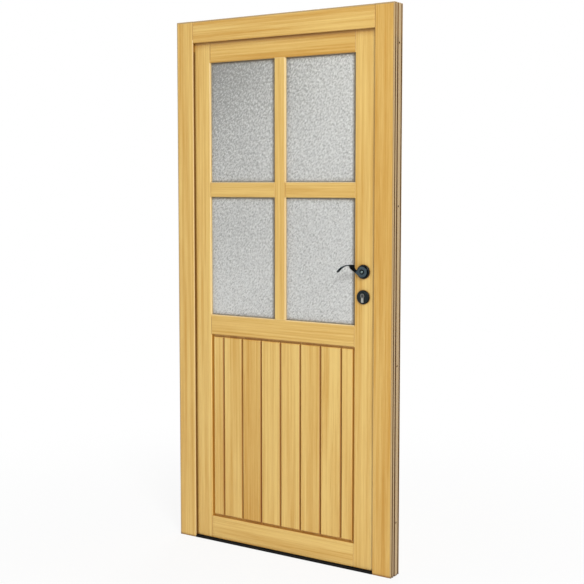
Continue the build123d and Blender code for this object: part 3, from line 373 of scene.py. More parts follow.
def blend_colour(tree, share, first, second, mode="MIX"):
    """Mixes two colours; returns the output."""
    node = put(tree, "ShaderNodeMix", data_type="RGBA", blend_type=mode)
    fill(tree, node, {0: share, 6: first, 7: second})
    return node.outputs[2]


def clouds(tree, vector, scale, detail=2.0, roughness=0.5):
    """Noise from 0 to 1 over a vector; returns its output."""
    inputs = {"Vector": vector, "Scale": scale, "Detail": detail, "Roughness": roughness}
    return put(tree, "ShaderNodeTexNoise", inputs).outputs[0]


def parts(tree, vector):
    """A vector's X, Y and Z."""
    return put(tree, "ShaderNodeSeparateXYZ", {0: vector}).outputs


def openness(tree, distance, normal=None, **options):
    """1 on open ground and less the more a surface is shut in within a distance, or looking along a normal."""
    inputs = {"Distance": distance}
    if normal:
        inputs["Normal"] = put(tree, "ShaderNodeCombineXYZ", dict(enumerate(normal))).outputs[0]
    return put(tree, "ShaderNodeAmbientOcclusion", inputs, **{"samples": 8, **options}).outputs["AO"]


def ramp(tree, value, stops):
    """A black to white ramp given as (place, brightness); returns its output."""
    node = put(tree, "ShaderNodeValToRGB", {0: value})
    elements = node.color_ramp.elements
    while len(elements) < len(stops):
        elements.new(0.5)
    for element, (place, brightness) in zip(elements, stops):
        element.position = place
        element.color = (brightness, brightness, brightness, 1)
    return node.outputs[0]


def new_group(name, inputs, outputs):
    """An empty shader node group; returns the tree, what it is given and what it puts out."""
    tree = bpy.data.node_groups.new(name, "ShaderNodeTree")
    for label, kind, value in inputs:
        socket = tree.interface.new_socket(label, in_out="INPUT", socket_type="NodeSocket" + kind)
        if value is not None:
            socket.default_value = value
    for label, kind in outputs:
        tree.interface.new_socket(label, in_out="OUTPUT", socket_type="NodeSocket" + kind)
    return tree, tree.nodes.new("NodeGroupInput").outputs, tree.nodes.new("NodeGroupOutput").inputs


def group_once(name, build):
    """The node group of that name, built the first time it is asked for."""
    return bpy.data.node_groups.get(name) or build(name)


def use_group(tree, group, inputs):
    """Places a node group with its own values."""
    return put(tree, "ShaderNodeGroup", inputs, node_tree=group)


def new_material(name):
    """A material with a Principled shader; returns the material, its tree and the shader."""
    material = bpy.data.materials.new(name)
    material.use_nodes = True
    tree = material.node_tree
    return material, tree, tree.nodes["Principled BSDF"]


def raise_surface(tree, shader, height, distance, strength=1.0):
    """Feeds a height through a Bump node into the shader's normal."""
    bump = put(tree, "ShaderNodeBump", {"Strength": strength, "Distance": distance, "Height": height})
    tree.links.new(bump.outputs[0], shader.inputs["Normal"])


def set_constants(shader, **values):
    """Sets plain values on a shader's own sockets; underscores stand for spaces."""
    for label, value in values.items():
        shader.inputs[label.replace("_", " ")].default_value = value


def mix_surface(tree, share, first, second):
    """Shows a share of the second shader over the first one."""
    mix = put(tree, "ShaderNodeMixShader", {0: share, 1: first.outputs[0], 2: second.outputs[0]})
    tree.links.new(mix.outputs[0], tree.nodes["Material Output"].inputs["Surface"])


def rgba(colour):
    """A colour with full alpha."""
    return (*colour, 1.0)


def scaled(colour, share):
    """A colour made lighter or darker."""
    return tuple(min(1.0, value * share) for value in colour)


# Shared effects


def build_timber_grain(name):
    """Growth rings round a pith, broad tone bands, fibres and pores, with the grain along Z."""
    tree, given, target = new_group(
        name,
        [
            ("Place", "Vector", None),
            ("Shift", "Vector", (0, 0, 0)),
            ("Pith X", "Float", 0.0),
            ("Pith Y", "Float", 0.12),
            ("Ring spacing", "Float", 0.004),
            ("Tone", "Float", 0.0),
            ("Early wood", "Color", (0.8, 0.5, 0.2, 1)),
            ("Late wood", "Color", (0.5, 0.3, 0.1, 1)),
            ("Varnish roughness", "Float", 0.35),
        ],
        [("Color", "Color"), ("Roughness", "Float"), ("Height", "Float")],
    )
    place = given["Place"]
    # Growth rings round a wandering pith, each year's late wood of its own strength
    moved = vector_calc(tree, "ADD", place, given["Shift"])
    slow = vector_calc(tree, "MULTIPLY", moved, (1.0, 1.0, 0.09))
    wander = times(tree, minus(tree, clouds(tree, slow, 7.0, 3.0), 0.5), 0.05)
    split = parts(tree, place)
    across = plus(tree, minus(tree, split[0], given["Pith X"]), wander)
    deep = minus(tree, split[1], given["Pith Y"])
    spread = plus(tree, times(tree, across, across), times(tree, deep, deep))
    rings = calc(tree, "DIVIDE", calc(tree, "SQRT", spread), given["Ring spacing"])
    uneven = clouds(tree, vector_calc(tree, "MULTIPLY", moved, (1.0, 1.0, 0.03)), 70.0, 2.0)
    rings = plus(tree, rings, times(tree, uneven, 2.6))
    part = calc(tree, "FRACT", rings)
    late = ramp(tree, part, ((0.0, 0.25), (0.12, 0.0), (0.45, 0.08), (0.86, 0.8), (0.95, 1.0), (1.0, 0.3)))
    year = put(tree, "ShaderNodeTexWhiteNoise", {"W": calc(tree, "FLOOR", rings)}, noise_dimensions="1D")
    late_year = times(tree, late, plus(tree, times(tree, year.outputs[0], 0.7), 0.3))
    # Fibres, streaks, broad bands and pores, all drawn out along the grain
    stretched = vector_calc(tree, "MULTIPLY", moved, (1.0, 1.0, 0.012))
    fibre = clouds(tree, stretched, 900.0, 3.0, 0.6)
    streak = clouds(tree, stretched, 120.0, 2.0)
    broad = clouds(tree, vector_calc(tree, "MULTIPLY", moved, (1.0, 1.0, 0.05)), 22.0, 2.0)
    pores = ramp(tree, clouds(tree, vector_calc(tree, "MULTIPLY", moved, (1, 1, 0.03)), 1500.0, 1.0), (
        (0.0, 1.0), (0.27, 0.6), (0.33, 0.0), (1.0, 0.0)))
    bold = ramp(tree, clouds(tree, vector_calc(tree, "MULTIPLY", moved, (1.0, 1.0, 0.08)), 35.0, 2.0), (
        (0.0, 0.15), (0.35, 0.25), (0.7, 1.0), (1.0, 1.0)))
    # One share from early to late wood
    dark = times(tree, times(tree, late_year, bold), 0.5)
    dark = plus(tree, dark, times(tree, minus(tree, fibre, 0.5), 1.1))
    dark = plus(tree, dark, times(tree, minus(tree, streak, 0.5), 1.5))
    dark = plus(tree, dark, times(tree, minus(tree, broad, 0.42), 1.2))
    dark = plus(tree, dark, times(tree, pores, 0.3))
    dark = minus(tree, plus(tree, dark, 0.12), given["Tone"], clamp=True)
    colour = blend_colour(tree, dark, given["Early wood"], given["Late wood"])
    rough = plus(tree, given["Varnish roughness"], times(tree, fibre, 0.12))
    rough = plus(tree, rough, times(tree, pores, 0.2))
    height = minus(tree, times(tree, fibre, 0.5), times(tree, pores, 0.8))
    height = plus(tree, height, times(tree, late, 0.35))
    for value, label in ((colour, "Color"), (rough, "Roughness"), (height, "Height")):
        tree.links.new(value, target[label])
    return tree


def build_stain_and_painted_light(name):
    """Varnish gathered dark in joints and painted shade in corners, reveals and under the head, with painted highlights
    on arrises, but not in the glazing rebates.
    """
    tree, given, target = new_group(
        name,
        [
            ("Place", "Vector", None),
            ("Colour", "Color", (0.8, 0.5, 0.2, 1)),
            ("Stain", "Color", (0.5, 0.4, 0.2, 1)),
            ("Frame stain", "Color", (0.3, 0.2, 0.1, 1)),
            ("Leaf rim", "Vector", (10.0, 10.0, 10.0)),
            ("Arris", "Color", (0.9, 0.8, 0.6, 1)),
            ("Glazing middle", "Vector", (0, 0, 0)),
            ("Glazing half", "Vector", (0, 0, 0)),
            ("Raw wood", "Color", (0.5, 0.4, 0.3, 1)),
            ("Wall side", "Vector", (10.0, 10.0, 10.0)),
            ("Lip end", "Float", 0.0),
            ("Facing", "Vector", (0.0, -1.0, 0.0)),
            ("Pale way", "Vector", (0.0, 0.0, 0.0)),
            ("Reveal top", "Float", 0.0),
            ("Vee reach", "Float", 0.0),
        ],
        [("Color", "Color")],
    )
    # Joints gather stain and painted shade where surfaces are shut in, but the glazing rebates stay bare
    offset = vector_calc(tree, "SUBTRACT", given["Place"], given["Glazing middle"])
    room = vector_calc(tree, "SUBTRACT", given["Glazing half"], vector_calc(tree, "ABSOLUTE", offset, offset))
    split = parts(tree, room)
    beside_glass = is_over(tree, calc(tree, "MINIMUM", split[0], split[2]), 0.0)
    shelter = openness(tree, JOINT_REACH)
    bare = ramp(tree, shelter, ((0.0, 0.0), (0.4, 0.0), (0.72, 0.45), (0.9, 1.0)))
    bare = calc(tree, "MAXIMUM", bare, times(tree, beside_glass, REBATE_BARE))
    # The frame's raw wall side: its flanks beyond the width, its crown above the height
    here = parts(tree, given["Place"])
    limit = parts(tree, given["Wall side"])
    beside = is_over(tree, size_of(tree, here[0]), limit[0])
    above = is_over(tree, here[2], limit[2])
    flank = times(tree, beside, is_over(tree, here[1], limit[1]))
    crown = times(tree, above, is_over(tree, here[1], given["Lip end"]))
    hidden = calc(tree, "MAXIMUM", flank, crown)
    raw = blend_colour(tree, times(tree, hidden, WALL_RAW), given["Colour"], given["Raw wood"])
    # Painted shade in the frame's reveal that faces the lock side and on its front lip; stain and painted shade in the
    # vees
    facing = parts(tree, given["Facing"])
    reveal = is_under(tree, here[2], given["Reveal top"])
    reveal = times(tree, reveal, rest_of(tree, beside))
    inward = times(tree, is_over(tree, facing[0], 0.9), reveal)
    bare = times(tree, bare, rest_of(tree, times(tree, inward, REVEAL_SHADE)))
    lip = times(tree, flank, is_under(tree, here[1], given["Lip end"]))
    bare = times(tree, bare, rest_of(tree, lip))
    side = is_over(tree, size_of(tree, facing[0]), 0.4)
    vee = is_under(tree, size_of(tree, here[0]), given["Vee reach"])
    bare = times(tree, bare, rest_of(tree, times(tree, side, vee)))
    # A soft painted shadow on the leaf under the frame's head
    rim = parts(tree, given["Leaf rim"])
    high = is_over(tree, here[2], rim[2])
    front = is_under(tree, facing[1], -0.5)
    head_shadow = openness(tree, HEAD_SHADOW_REACH, UNDER_HEAD)
    head_shadow = ramp(tree, head_shadow, ((0.0, 0.9), (0.25, 0.7), (0.48, 0.25), (0.58, 0.0)))
    head_shadow = times(tree, head_shadow, times(tree, high, front))
    bare = calc(tree, "MINIMUM", bare, rest_of(tree, head_shadow))
    # The frame's darker stain and painted shade on the leaf's rim beside the frame, and a share of it in the vees
    outer = is_over(tree, size_of(tree, here[0]), rim[0])
    outer = times(tree, outer, rest_of(tree, high))
    outer = plus(tree, outer, times(tree, high, HEAD_SHADE))
    outer = calc(tree, "MAXIMUM", outer, times(tree, times(tree, side, vee), VEE_STAIN_AND_SHADE))
    stain_and_shade = blend_colour(tree, outer, given["Stain"], given["Frame stain"])
    stained_and_shaded = blend_colour(tree, 1.0, raw, stain_and_shade, "MULTIPLY")
    colour = blend_colour(tree, bare, stained_and_shaded, raw)
    # Painted highlights on the arrises, and on slopes beside the glass and in the reveal that face the light
    depth = openness(tree, ARRIS_WIDTH, samples=6, inside=True)
    arris_highlight = ramp(tree, depth, ((0.0, 0.7), (0.45, 0.55), (0.85, 0.0), (1.0, 0.0)))
    arris_highlight = times(tree, arris_highlight, ramp(tree, shelter, ((0.0, 0.0), (0.8, 0.0), (0.95, 1.0))))
    arris_highlight = times(tree, arris_highlight, rest_of(tree, beside))
    slope = vector_calc(tree, "MULTIPLY", given["Facing"], given["Pale way"])
    slope = parts(tree, slope)
    slope = times(tree, plus(tree, slope[0], slope[2]), 1.4)
    slope = minus(tree, slope, 0.3, clamp=True)
    slope = times(tree, slope, is_under(tree, facing[1], -0.3))
    slope = times(tree, slope, calc(tree, "MAXIMUM", beside_glass, reveal))
    arris_highlight = calc(tree, "MAXIMUM", arris_highlight, slope)
    colour = blend_colour(tree, arris_highlight, colour, given["Arris"])
    tree.links.new(colour, target["Color"])
    return tree


def build_metal_wear_and_painted_light(name):
    """Cloudy patches, fine scratches and dents of handled metal, with painted shade on flanks and in a ring, a painted
    spot, dark crevices and bright edges.
    """
    tree, given, target = new_group(
        name,
        [
            ("Place", "Vector", None),
            ("Colour", "Color", (0.5, 0.5, 0.5, 1)),
            ("Patch", "Color", (0.3, 0.3, 0.3, 1)),
            ("Patch scale", "Float", 60.0),
            ("Roughness", "Float", 0.35),
            ("Roughness spread", "Float", 0.2),
            ("Brushing", "Vector", (1.0, 1.0, 1.0)),
            ("Crevice", "Float", 0.5),
            ("Edge", "Float", 0.3),
            ("Facing", "Vector", (0.0, 0.0, 0.0)),
            ("Flank", "Float", 0.0),
            ("Axis", "Vector", (0.0, 0.0, 0.0)),
            ("Spot radius", "Float", 0.0),
            ("Ring radius", "Float", 0.0),
            ("Spot", "Color", (0.5, 0.5, 0.5, 1)),
        ],
        [("Color", "Color"), ("Roughness", "Float"), ("Height", "Float")],
    )
    place = given["Place"]
    patch = ramp(tree, clouds(tree, place, given["Patch scale"], 4.0, 0.6), (
        (0.0, 0.0), (0.35, 0.0), (0.68, 1.0), (1.0, 1.0)))
    brushed = clouds(tree, vector_calc(tree, "MULTIPLY", place, given["Brushing"]), 1800.0, 2.0)
    dents = clouds(tree, place, 260.0, 1.0)
    colour = blend_colour(tree, patch, given["Colour"], given["Patch"])
    # Painted shade on the flanks and in a dark ring round the axis, and a painted spot there
    turned = parts(tree, given["Facing"])
    flank = ramp(tree, size_of(tree, turned[1]), ((0.0, 1.0), (0.72, 1.0), (0.96, 0.0)))
    flank = times(tree, flank, given["Flank"])
    colour = blend_colour(tree, flank, colour, FLANK_SHADE)
    offset = vector_calc(tree, "SUBTRACT", place, given["Axis"])
    flat = vector_calc(tree, "MULTIPLY", offset, (1.0, 0.0, 1.0))
    radius = put(tree, "ShaderNodeVectorMath", {0: flat}, operation="LENGTH").outputs["Value"]
    ring = times(tree, is_under(tree, radius, given["Ring radius"]), 0.8)
    colour = blend_colour(tree, ring, colour, RING_SHADE)
    spot = is_under(tree, radius, given["Spot radius"])
    colour = blend_colour(tree, spot, colour, given["Spot"])
    # Darker in crevices, lighter on edges
    shelter = openness(tree, CREVICE_REACH)
    crevice_dark = ramp(tree, shelter, ((0.0, 1.0), (0.45, 0.9), (0.95, 0.0)))
    crevice_dark = times(tree, crevice_dark, given["Crevice"])
    colour = blend_colour(tree, crevice_dark, colour, CREVICE_DARK)
    depth = openness(tree, EDGE_WIDTH, samples=6, inside=True)
    edge = ramp(tree, depth, ((0.0, 1.0), (0.4, 0.8), (0.9, 0.0)))
    edge = times(tree, edge, given["Edge"])
    colour = blend_colour(tree, edge, colour, EDGE_BRIGHT)
    spread = times(tree, minus(tree, brushed, 0.5), given["Roughness spread"])
    rough = plus(tree, given["Roughness"], spread)
    rough = plus(tree, rough, times(tree, patch, 0.08), clamp=True)
    height = plus(tree, times(tree, brushed, 0.25), dents)
    for value, label in ((colour, "Color"), (rough, "Roughness"), (height, "Height")):
        tree.links.new(value, target[label])
    return tree


def glazing_box():
    """Lowest and highest corners of all the outer panes together."""
    boxes = [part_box(f"outer_pane_{pane}") for pane in PANES]
    low = Vector(min(box[0][axis] for box in boxes) for axis in range(3))
    high = Vector(max(box[1][axis] for box in boxes) for axis in range(3))
    return low, high


def leaf_rim():
    """Where the outer half of the stiles and of the top rail begins, in width and height."""
    low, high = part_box("hinge_stile")
    rail_low, rail_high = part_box("top_rail")
    return (-(low.x + high.x) / 2, 0.0, (rail_low.z + rail_high.z) / 2)


def wall_side(settings):
    """Where the frame's unvarnished wall side begins: beyond this width and height, behind this depth."""
    low, high = cad_box
    depth = settings.wall_groove
    return (high[0] - depth, low[1] + settings.front_lip / 8, high[2] - depth)


def local_place(tree):
    """The piece's own coordinates, in metres."""
    return tree.nodes.new("ShaderNodeTexCoord").outputs["Object"]


def facing_of(tree):
    """The way the piece's surface faces, in its own coordinates."""
    return tree.nodes.new("ShaderNodeTexCoord").outputs["Normal"]


def upright(tree, place):
    """The coordinates as they are, for timber whose grain runs along Z."""
    return place


def level(tree, place):
    """The coordinates with X and Z exchanged, for timber whose grain runs along X."""
    split = parts(tree, place)
    inputs = {0: split[2], 1: split[1], 2: split[0]}
    return put(tree, "ShaderNodeCombineXYZ", inputs).outputs[0]


# Finishes


def timber_material(name, settings, place_of, number, tone, middle, in_frame=False, vee_reach=0.0):
    """Varnished spruce for one member, with its own pith, shift and tone, its stain, painted shade and painted
    highlights.
    """
    material, tree, shader = new_material(name)
    place = place_of(tree, local_place(tree))
    sway = math.sin(number * 2.4)
    grain = use_group(tree, group_once("Timber grain", build_timber_grain), {
        "Place": place,
        "Shift": (number * 0.37, number * 0.53, number * 0.71),
        "Pith X": middle + math.copysign(0.13, sway) + 0.05 * sway,
        "Pith Y": 0.10 + 0.05 * math.cos(number * 1.7),
        "Ring spacing": settings.ring_spacing * (1 + 0.25 * sway),
        "Tone": tone,
        "Early wood": rgba(settings.early_wood),
        "Late wood": rgba(settings.late_wood),
        "Varnish roughness": settings.varnish_roughness,
    })
    glass_low, glass_high = glazing_box()
    stain_and_light = use_group(tree, group_once("Joint stain", build_stain_and_painted_light), {
        "Place": local_place(tree),
        "Colour": grain.outputs["Color"],
        "Stain": rgba(settings.leaf_stain_and_shade),
        "Frame stain": rgba(settings.frame_stain_and_shade),
        "Leaf rim": leaf_rim(),
        "Arris": rgba(settings.arris_highlight),
        "Glazing middle": (glass_low + glass_high) / 2,
        "Glazing half": (glass_high - glass_low) / 2,
        "Raw wood": rgba(settings.raw_wood),
        "Wall side": wall_side(settings),
        "Lip end": cad_box[0][1] + settings.front_lip,
        "Facing": facing_of(tree),
        # Slopes that face this way, towards the light, get painted highlights
        "Pale way": (0, 0, 1) if place_of is level else (1, 0, 0),
        "Reveal top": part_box("hinge_stile")[1].z if in_frame else 0.0,
        "Vee reach": vee_reach,
    })
    tree.links.new(stain_and_light.outputs["Color"], shader.inputs["Base Color"])
    tree.links.new(grain.outputs["Roughness"], shader.inputs["Roughness"])
    set_constants(shader, Coat_Weight=0.25, Coat_Roughness=0.2)
    raise_surface(tree, shader, grain.outputs["Height"], 0.0002, 0.6)
    return material


def mitred(middle, half):
    """Grain along each side of a mitred ring that stands round a middle point."""

    def choose(tree, place):
        split = parts(tree, place)
        edges = []
        for axis, index in ((0, 0), (2, 1)):
            off = size_of(tree, minus(tree, split[axis], middle[index]))
            edges.append(minus(tree, half[index], off))
        lies = is_under(tree, edges[1], edges[0])
        node = put(tree, "ShaderNodeMix", data_type="VECTOR")
        fill(tree, node, {0: lies, 4: place, 5: level(tree, place)})
        return node.outputs[1]

    return choose


def painted_dark_corner(tree, place):
    """A share that rises towards the upper left of the glazing, where a painted darker reflection lies."""
    low, high = glazing_box()
    split = parts(tree, place)
    left = put(tree, "ShaderNodeMapRange", {0: split[0], 1: low.x, 2: high.x, 3: 1.0, 4: 0.0})
    upper = put(tree, "ShaderNodeMapRange", {0: split[2], 1: low.z, 2: high.z, 3: 0.0, 4: 0.8})
    height = times(tree, upper.outputs[0], upper.outputs[0])
    return times(tree, calc(tree, "POWER", left.outputs[0], 0.75), height)


def rolled_glass_material(settings):
    """Grey rolled glass, cloudy in its relief, with a painted dark reflection to the upper left, painted shade along
    its rims and a painted shade line.
    """
    material, tree, shader = new_material("Rolled glass")
    place = local_place(tree)
    along, across = RELIEF_STRETCH
    slant = put(
        tree, "ShaderNodeMapping", {"Vector": place, "Rotation": (0, settings.slant, 0), "Scale": (along, 1.0, across)},
        vector_type="TEXTURE").outputs[0]
    fine = clouds(tree, slant, 1.0 / settings.grain, 3.0, 0.65)
    small = clouds(tree, slant, 2.6 / settings.grain, 2.0, 0.6)
    broad = clouds(tree, place, 2.2, 2.0)
    share = plus(tree, times(tree, fine, 0.6), times(tree, small, 0.4))
    share = ramp(tree, share, ((0.0, 0.0), (0.37, 0.0), (0.58, 1.0), (1.0, 1.0)))
    # Painted darker reflection towards the upper left, dimming the hollows more than the bumps
    corner_shade = painted_dark_corner(tree, place)
    dimmed = times(tree, corner_shade, minus(tree, 1.3, times(tree, share, 0.5)))
    share = plus(tree, share, times(tree, minus(tree, broad, 0.4), 0.5))
    share = minus(tree, share, dimmed, clamp=True)
    shade = blend_colour(tree, corner_shade, rgba(settings.shade), rgba(scaled(settings.shade, 0.58)))
    colour = blend_colour(tree, share, shade, rgba(settings.tint))
    # Painted shade along the pane's rim where the frame shuts it in, and a painted shade line towards the lock side
    shelter = openness(tree, RIM_REACH)
    rim = ramp(tree, shelter, ((0.0, 0.3), (0.55, 0.3), (0.72, 0.15), (0.87, 0.0)))
    cast = openness(tree, SHADE_LINE_REACH, TO_LOCK_SIDE)
    colour = blend_colour(tree, rim, colour, rgba(settings.rim))
    line = ramp(tree, cast, ((0.0, 0.95), (0.48, 0.85), (0.6, 0.0)))
    colour = blend_colour(tree, line, colour, rgba(settings.line))
    tree.links.new(colour, shader.inputs["Base Color"])
    set_constants(shader, Roughness=0.28, IOR=GLASS_IOR, Transmission_Weight=0.35)
    raise_surface(tree, shader, small, 0.001, 0.8)
    return material


def clear_glass_material():
    """Clear glass of the inner panes, with a little dust. It lets the lamps shine through."""
    material, tree, shader = new_material("Clear glass")
    tint = rgba(linear(249, 252, 250))
    dust = clouds(tree, local_place(tree), 30.0, 4.0, 0.6)
    tree.links.new(times(tree, dust, 0.05), shader.inputs["Roughness"])
    set_constants(shader, Base_Color=tint, IOR=GLASS_IOR, Transmission_Weight=0.9)
    lit = tree.nodes.new("ShaderNodeLightPath").outputs["Is Shadow Ray"]
    through = put(tree, "ShaderNodeBsdfTransparent", {"Color": tint})
    mix_surface(tree, lit, shader, through)
    return material


def metal_material(
        name, colour, patch, crevice=0.35, edge=0.12, flank=0.0, axis=(0, 0, 0), spot=(0, 0, 0), spot_radius=0.0,
        ring_radius=0.0):
    """A metal with patches, brushing and small dents, and perhaps painted shade on its flanks, a painted spot and a
    ring of painted shade round an axis along Y.
    """
    roughness, spread, brushing, scale, metallic, depth = METAL_FINISHES[name]
    material, tree, shader = new_material(name)
    wear = use_group(tree, group_once("Metal wear", build_metal_wear_and_painted_light), {
        "Place": local_place(tree),
        "Colour": rgba(colour),
        "Patch": rgba(patch),
        "Patch scale": scale,
        "Roughness": roughness,
        "Roughness spread": spread,
        "Brushing": brushing,
        "Crevice": crevice,
        "Edge": edge,
        "Facing": facing_of(tree),
        "Flank": flank,
        "Axis": axis,
        "Spot": rgba(spot),
        "Spot radius": spot_radius,
        "Ring radius": ring_radius,
    })
    tree.links.new(wear.outputs["Color"], shader.inputs["Base Color"])
    tree.links.new(wear.outputs["Roughness"], shader.inputs["Roughness"])
    set_constants(shader, Metallic=metallic)
    raise_surface(tree, shader, wear.outputs["Height"], depth, 0.5)
    return material


def soft_material(name, clean, dusty, roughness):
    """Rubber or sealant with a dusty bloom and a fine skin."""
    material, tree, shader = new_material(name)
    place = local_place(tree)
    bloom = clouds(tree, place, 90.0, 4.0, 0.6)
    skin = clouds(tree, place, 2400.0, 1.0)
    colour = blend_colour(tree, bloom, rgba(clean), rgba(dusty))
    tree.links.new(colour, shader.inputs["Base Color"])
    tree.links.new(plus(tree, times(tree, bloom, 0.2), roughness), shader.inputs["Roughness"])
    raise_surface(tree, shader, skin, 0.0001, 0.5)
    return material


def paint(names, material):
    """Gives CAD nodes a material."""
    for name in names:
        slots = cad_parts[name].data.materials
        slots.clear()
        slots.append(material)


# Meshes


def new_piece(name, mesh, body, replaced, material):
    """Links a mesh as a piece that rides on a body and stands for CAD nodes."""
    piece = bpy.data.objects.new(name, mesh)
    bpy.context.scene.collection.objects.link(piece)
    mesh.materials.clear()
    mesh.materials.append(material)
    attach(piece, body)
    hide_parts(*replaced)
    return piece


def relief_at(x, z, settings):
    """Depth of the rolled relief at a point of the pane, from 0 to 1."""
    along = (x * math.cos(settings.slant) - z * math.sin(settings.slant)) / RELIEF_STRETCH[0]
    rising = (x * math.sin(settings.slant) + z * math.cos(settings.slant)) / RELIEF_STRETCH[1]
    place = Vector((along / settings.grain, rising / settings.grain, 3.0))
    bumps = noise.noise(place) * 0.6 + noise.noise(place * 2.3) * 0.4
    return min(1.0, max(0.0, 0.5 + 0.75 * bumps))


def closed_mesh(name, mesh, sharp):
    """Turns a finished bmesh into a smooth mesh with its sharp edges kept."""
    bmesh.ops.recalc_face_normals(mesh, faces=mesh.faces)
    data = bpy.data.meshes.new(name)
    mesh.to_mesh(data)
    mesh.free()
    data.shade_smooth()
    data.set_sharp_from_angle(angle=sharp)
    return data


def rolled_pane(name, low, high, settings):
    """A sheet of glass with a rolled relief on its outer face and a flat back."""
    across = round((high.x - low.x) / settings.step)
    up = round((high.z - low.z) / settings.step)
    mesh = bmesh.new()
    front = []
    for row in range(up + 1):
        z = low.z + (high.z - low.z) * row / up
        line = []
        for column in range(across + 1):
            x = low.x + (high.x - low.x) * column / across
            rim = row in (0, up) or column in (0, across)
            depth = 0.0 if rim else settings.relief * relief_at(x, z, settings)
            line.append(mesh.verts.new((x, low.y + depth, z)))
        front.append(line)
    for row in range(up):
        for column in range(across):
            corner = front[row][column], front[row][column + 1]
            mesh.faces.new((*corner, front[row + 1][column + 1], front[row + 1][column]))
    rim_points = front[0] + [line[-1] for line in front[1:]]
    rim_points += front[-1][-2::-1] + [line[0] for line in front[-2:0:-1]]
    back_points = [mesh.verts.new((point.co.x, high.y, point.co.z)) for point in rim_points]
    for index, point in enumerate(rim_points):
        following = (index + 1) % len(rim_points)
        mesh.faces.new((point, back_points[index], back_points[following], rim_points[following]))
    mesh.faces.new(back_points)
    return closed_mesh(name, mesh, PANE_SHARP)


def circle(radius):
    """Points of a circle, in order."""
    turns = [2 * math.pi * step / SCREW_CORNERS for step in range(SCREW_CORNERS)]
    return [(radius * math.cos(turn), radius * math.sin(turn)) for turn in turns]


def cross(reach, half):
    """Corners of an equal-armed cross, in order."""
    arm = [(reach, -half), (reach, half), (half, half)]
    upper = arm + [(-up, across) for across, up in arm]
    return upper + [(-across, -up) for across, up in upper]


def join_loops(mesh, loops):
    """Faces between loops of points that follow each other, and a lid on the last."""
    for first, second in zip(loops, loops[1:]):
        for index, point in enumerate(first):
            mesh.faces.new((first[index - 1], point, second[index], second[index - 1]))
    mesh.faces.new(loops[-1])


def cross_screws(name, node, way):
    """A plate's two countersunk screws with a cross recess; their heads face along X, to the side of way."""
    low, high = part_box(node)
    radius = (high.y - low.y) / 2
    face = high.x if way > 0 else low.x
    mesh = bmesh.new()
    for z in (low.z + radius, high.z - radius):
        middle = Vector((face, (low.y + high.y) / 2, z))
        outlines = [(circle(share), depth) for share, depth in SCREW_LOOPS]
        outlines += [(cross(reach, half), depth) for reach, half, depth in RECESS_LOOPS]
        loops = []
        for points, depth in outlines:
            loops.append([mesh.verts.new(middle + radius * Vector((-way * depth, *point))) for point in points])
        shank, recess = loops[:len(SCREW_LOOPS)], loops[len(SCREW_LOOPS):]
        join_loops(mesh, shank)
        join_loops(mesh, recess)
        rims = [
            mesh.edges.get((loop[index - 1], point))
            for loop in (shank[0], recess[0]) for index, point in enumerate(loop)
        ]
        bmesh.ops.triangle_fill(mesh, use_beauty=True, edges=rims)
    return closed_mesh(name, mesh, SCREW_SHARP)


def softened(name, node, settings):
    """A copy of a forged solid with its edges worn round; hammer presses the marks into it."""
    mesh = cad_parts[node].data.copy()
    piece = bpy.data.objects.new(name, mesh)
    bpy.context.scene.collection.objects.link(piece)
    weld = piece.modifiers.new("Weld", "WELD")
    weld.merge_threshold = WELD_DISTANCE
    remesh = piece.modifiers.new("Remesh", "REMESH")
    remesh.mode = "VOXEL"
    remesh.voxel_size = settings.softening
    smooth = piece.modifiers.new("Smooth", "SMOOTH")
    smooth.factor = SMOOTH_SHARE
    smooth.iterations = SMOOTH_ROUNDS
    graph = bpy.context.evaluated_depsgraph_get()
    result = bpy.data.meshes.new_from_object(piece.evaluated_get(graph))
    bpy.data.objects.remove(piece)
    result.name = name
    return result


def hammer(mesh, depth, low, high):
    """Presses shallow hammer marks into a mesh and keeps it inside its solid's box."""
    normals = [vertex.normal.copy() for vertex in mesh.vertices]
    for vertex, normal in zip(mesh.vertices, normals):
        mark = sum(noise.noise(vertex.co * scale) * share for scale, share in HAMMER_MARKS)
        spot = vertex.co + normal * depth * min(0.0, mark - HAMMER_LEVEL)
        vertex.co = Vector(min(max(value, least), most) for value, least, most in zip(spot, low, high))
    mesh.shade_smooth()


# Operators


class DOOR_OT_timber(Operator):
    """Gives the frame, the leaf, the boards and the glazing beads their varnished spruce, with painted shade and
    highlights
    """

    bl_idname = "door.timber"
    bl_label = "Finish the timber"

    def execute(self, context):
        settings = context.scene.door.timber
        end_board_edge = abs(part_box(BOARDS[0])[1].x)
        for number, name in enumerate(UPRIGHT_TIMBER + BOARDS):
            low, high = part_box(name)
            middle = (low.x + high.x) / 2
            in_frame = name in FRAME_TIMBER
            tone = MEMBER_TONE_SHARES.get(name)
            vee_reach = 0.0
            if tone is None:
                tone = BOARD_TONE_SHARES[BOARDS.index(name)]
                vee_reach = end_board_edge + settings.vee_margin
            paint([name], timber_material(
                f"Spruce {name}", settings, upright, number, tone, middle, in_frame, vee_reach))
        for number, name in enumerate(LEVEL_TIMBER):
            low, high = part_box(name)
            middle = (low.z + high.z) / 2
            tone = MEMBER_TONE_SHARES[name]
            in_frame = name in FRAME_TIMBER
            paint([name], timber_material(f"Spruce {name}", settings, level, number + 0.5, tone, middle, in_frame))
        for number, name in enumerate(BEADS):
            low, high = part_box(name)
            middle = (low + high) / 2
            half = (high - low) / 2
            way = mitred((middle.x, middle.z), (half.x, half.z))
            paint([name], timber_material(f"Spruce {name}", settings, way, number + 0.25, 0.0, middle.x))
        return {"FINISHED"}


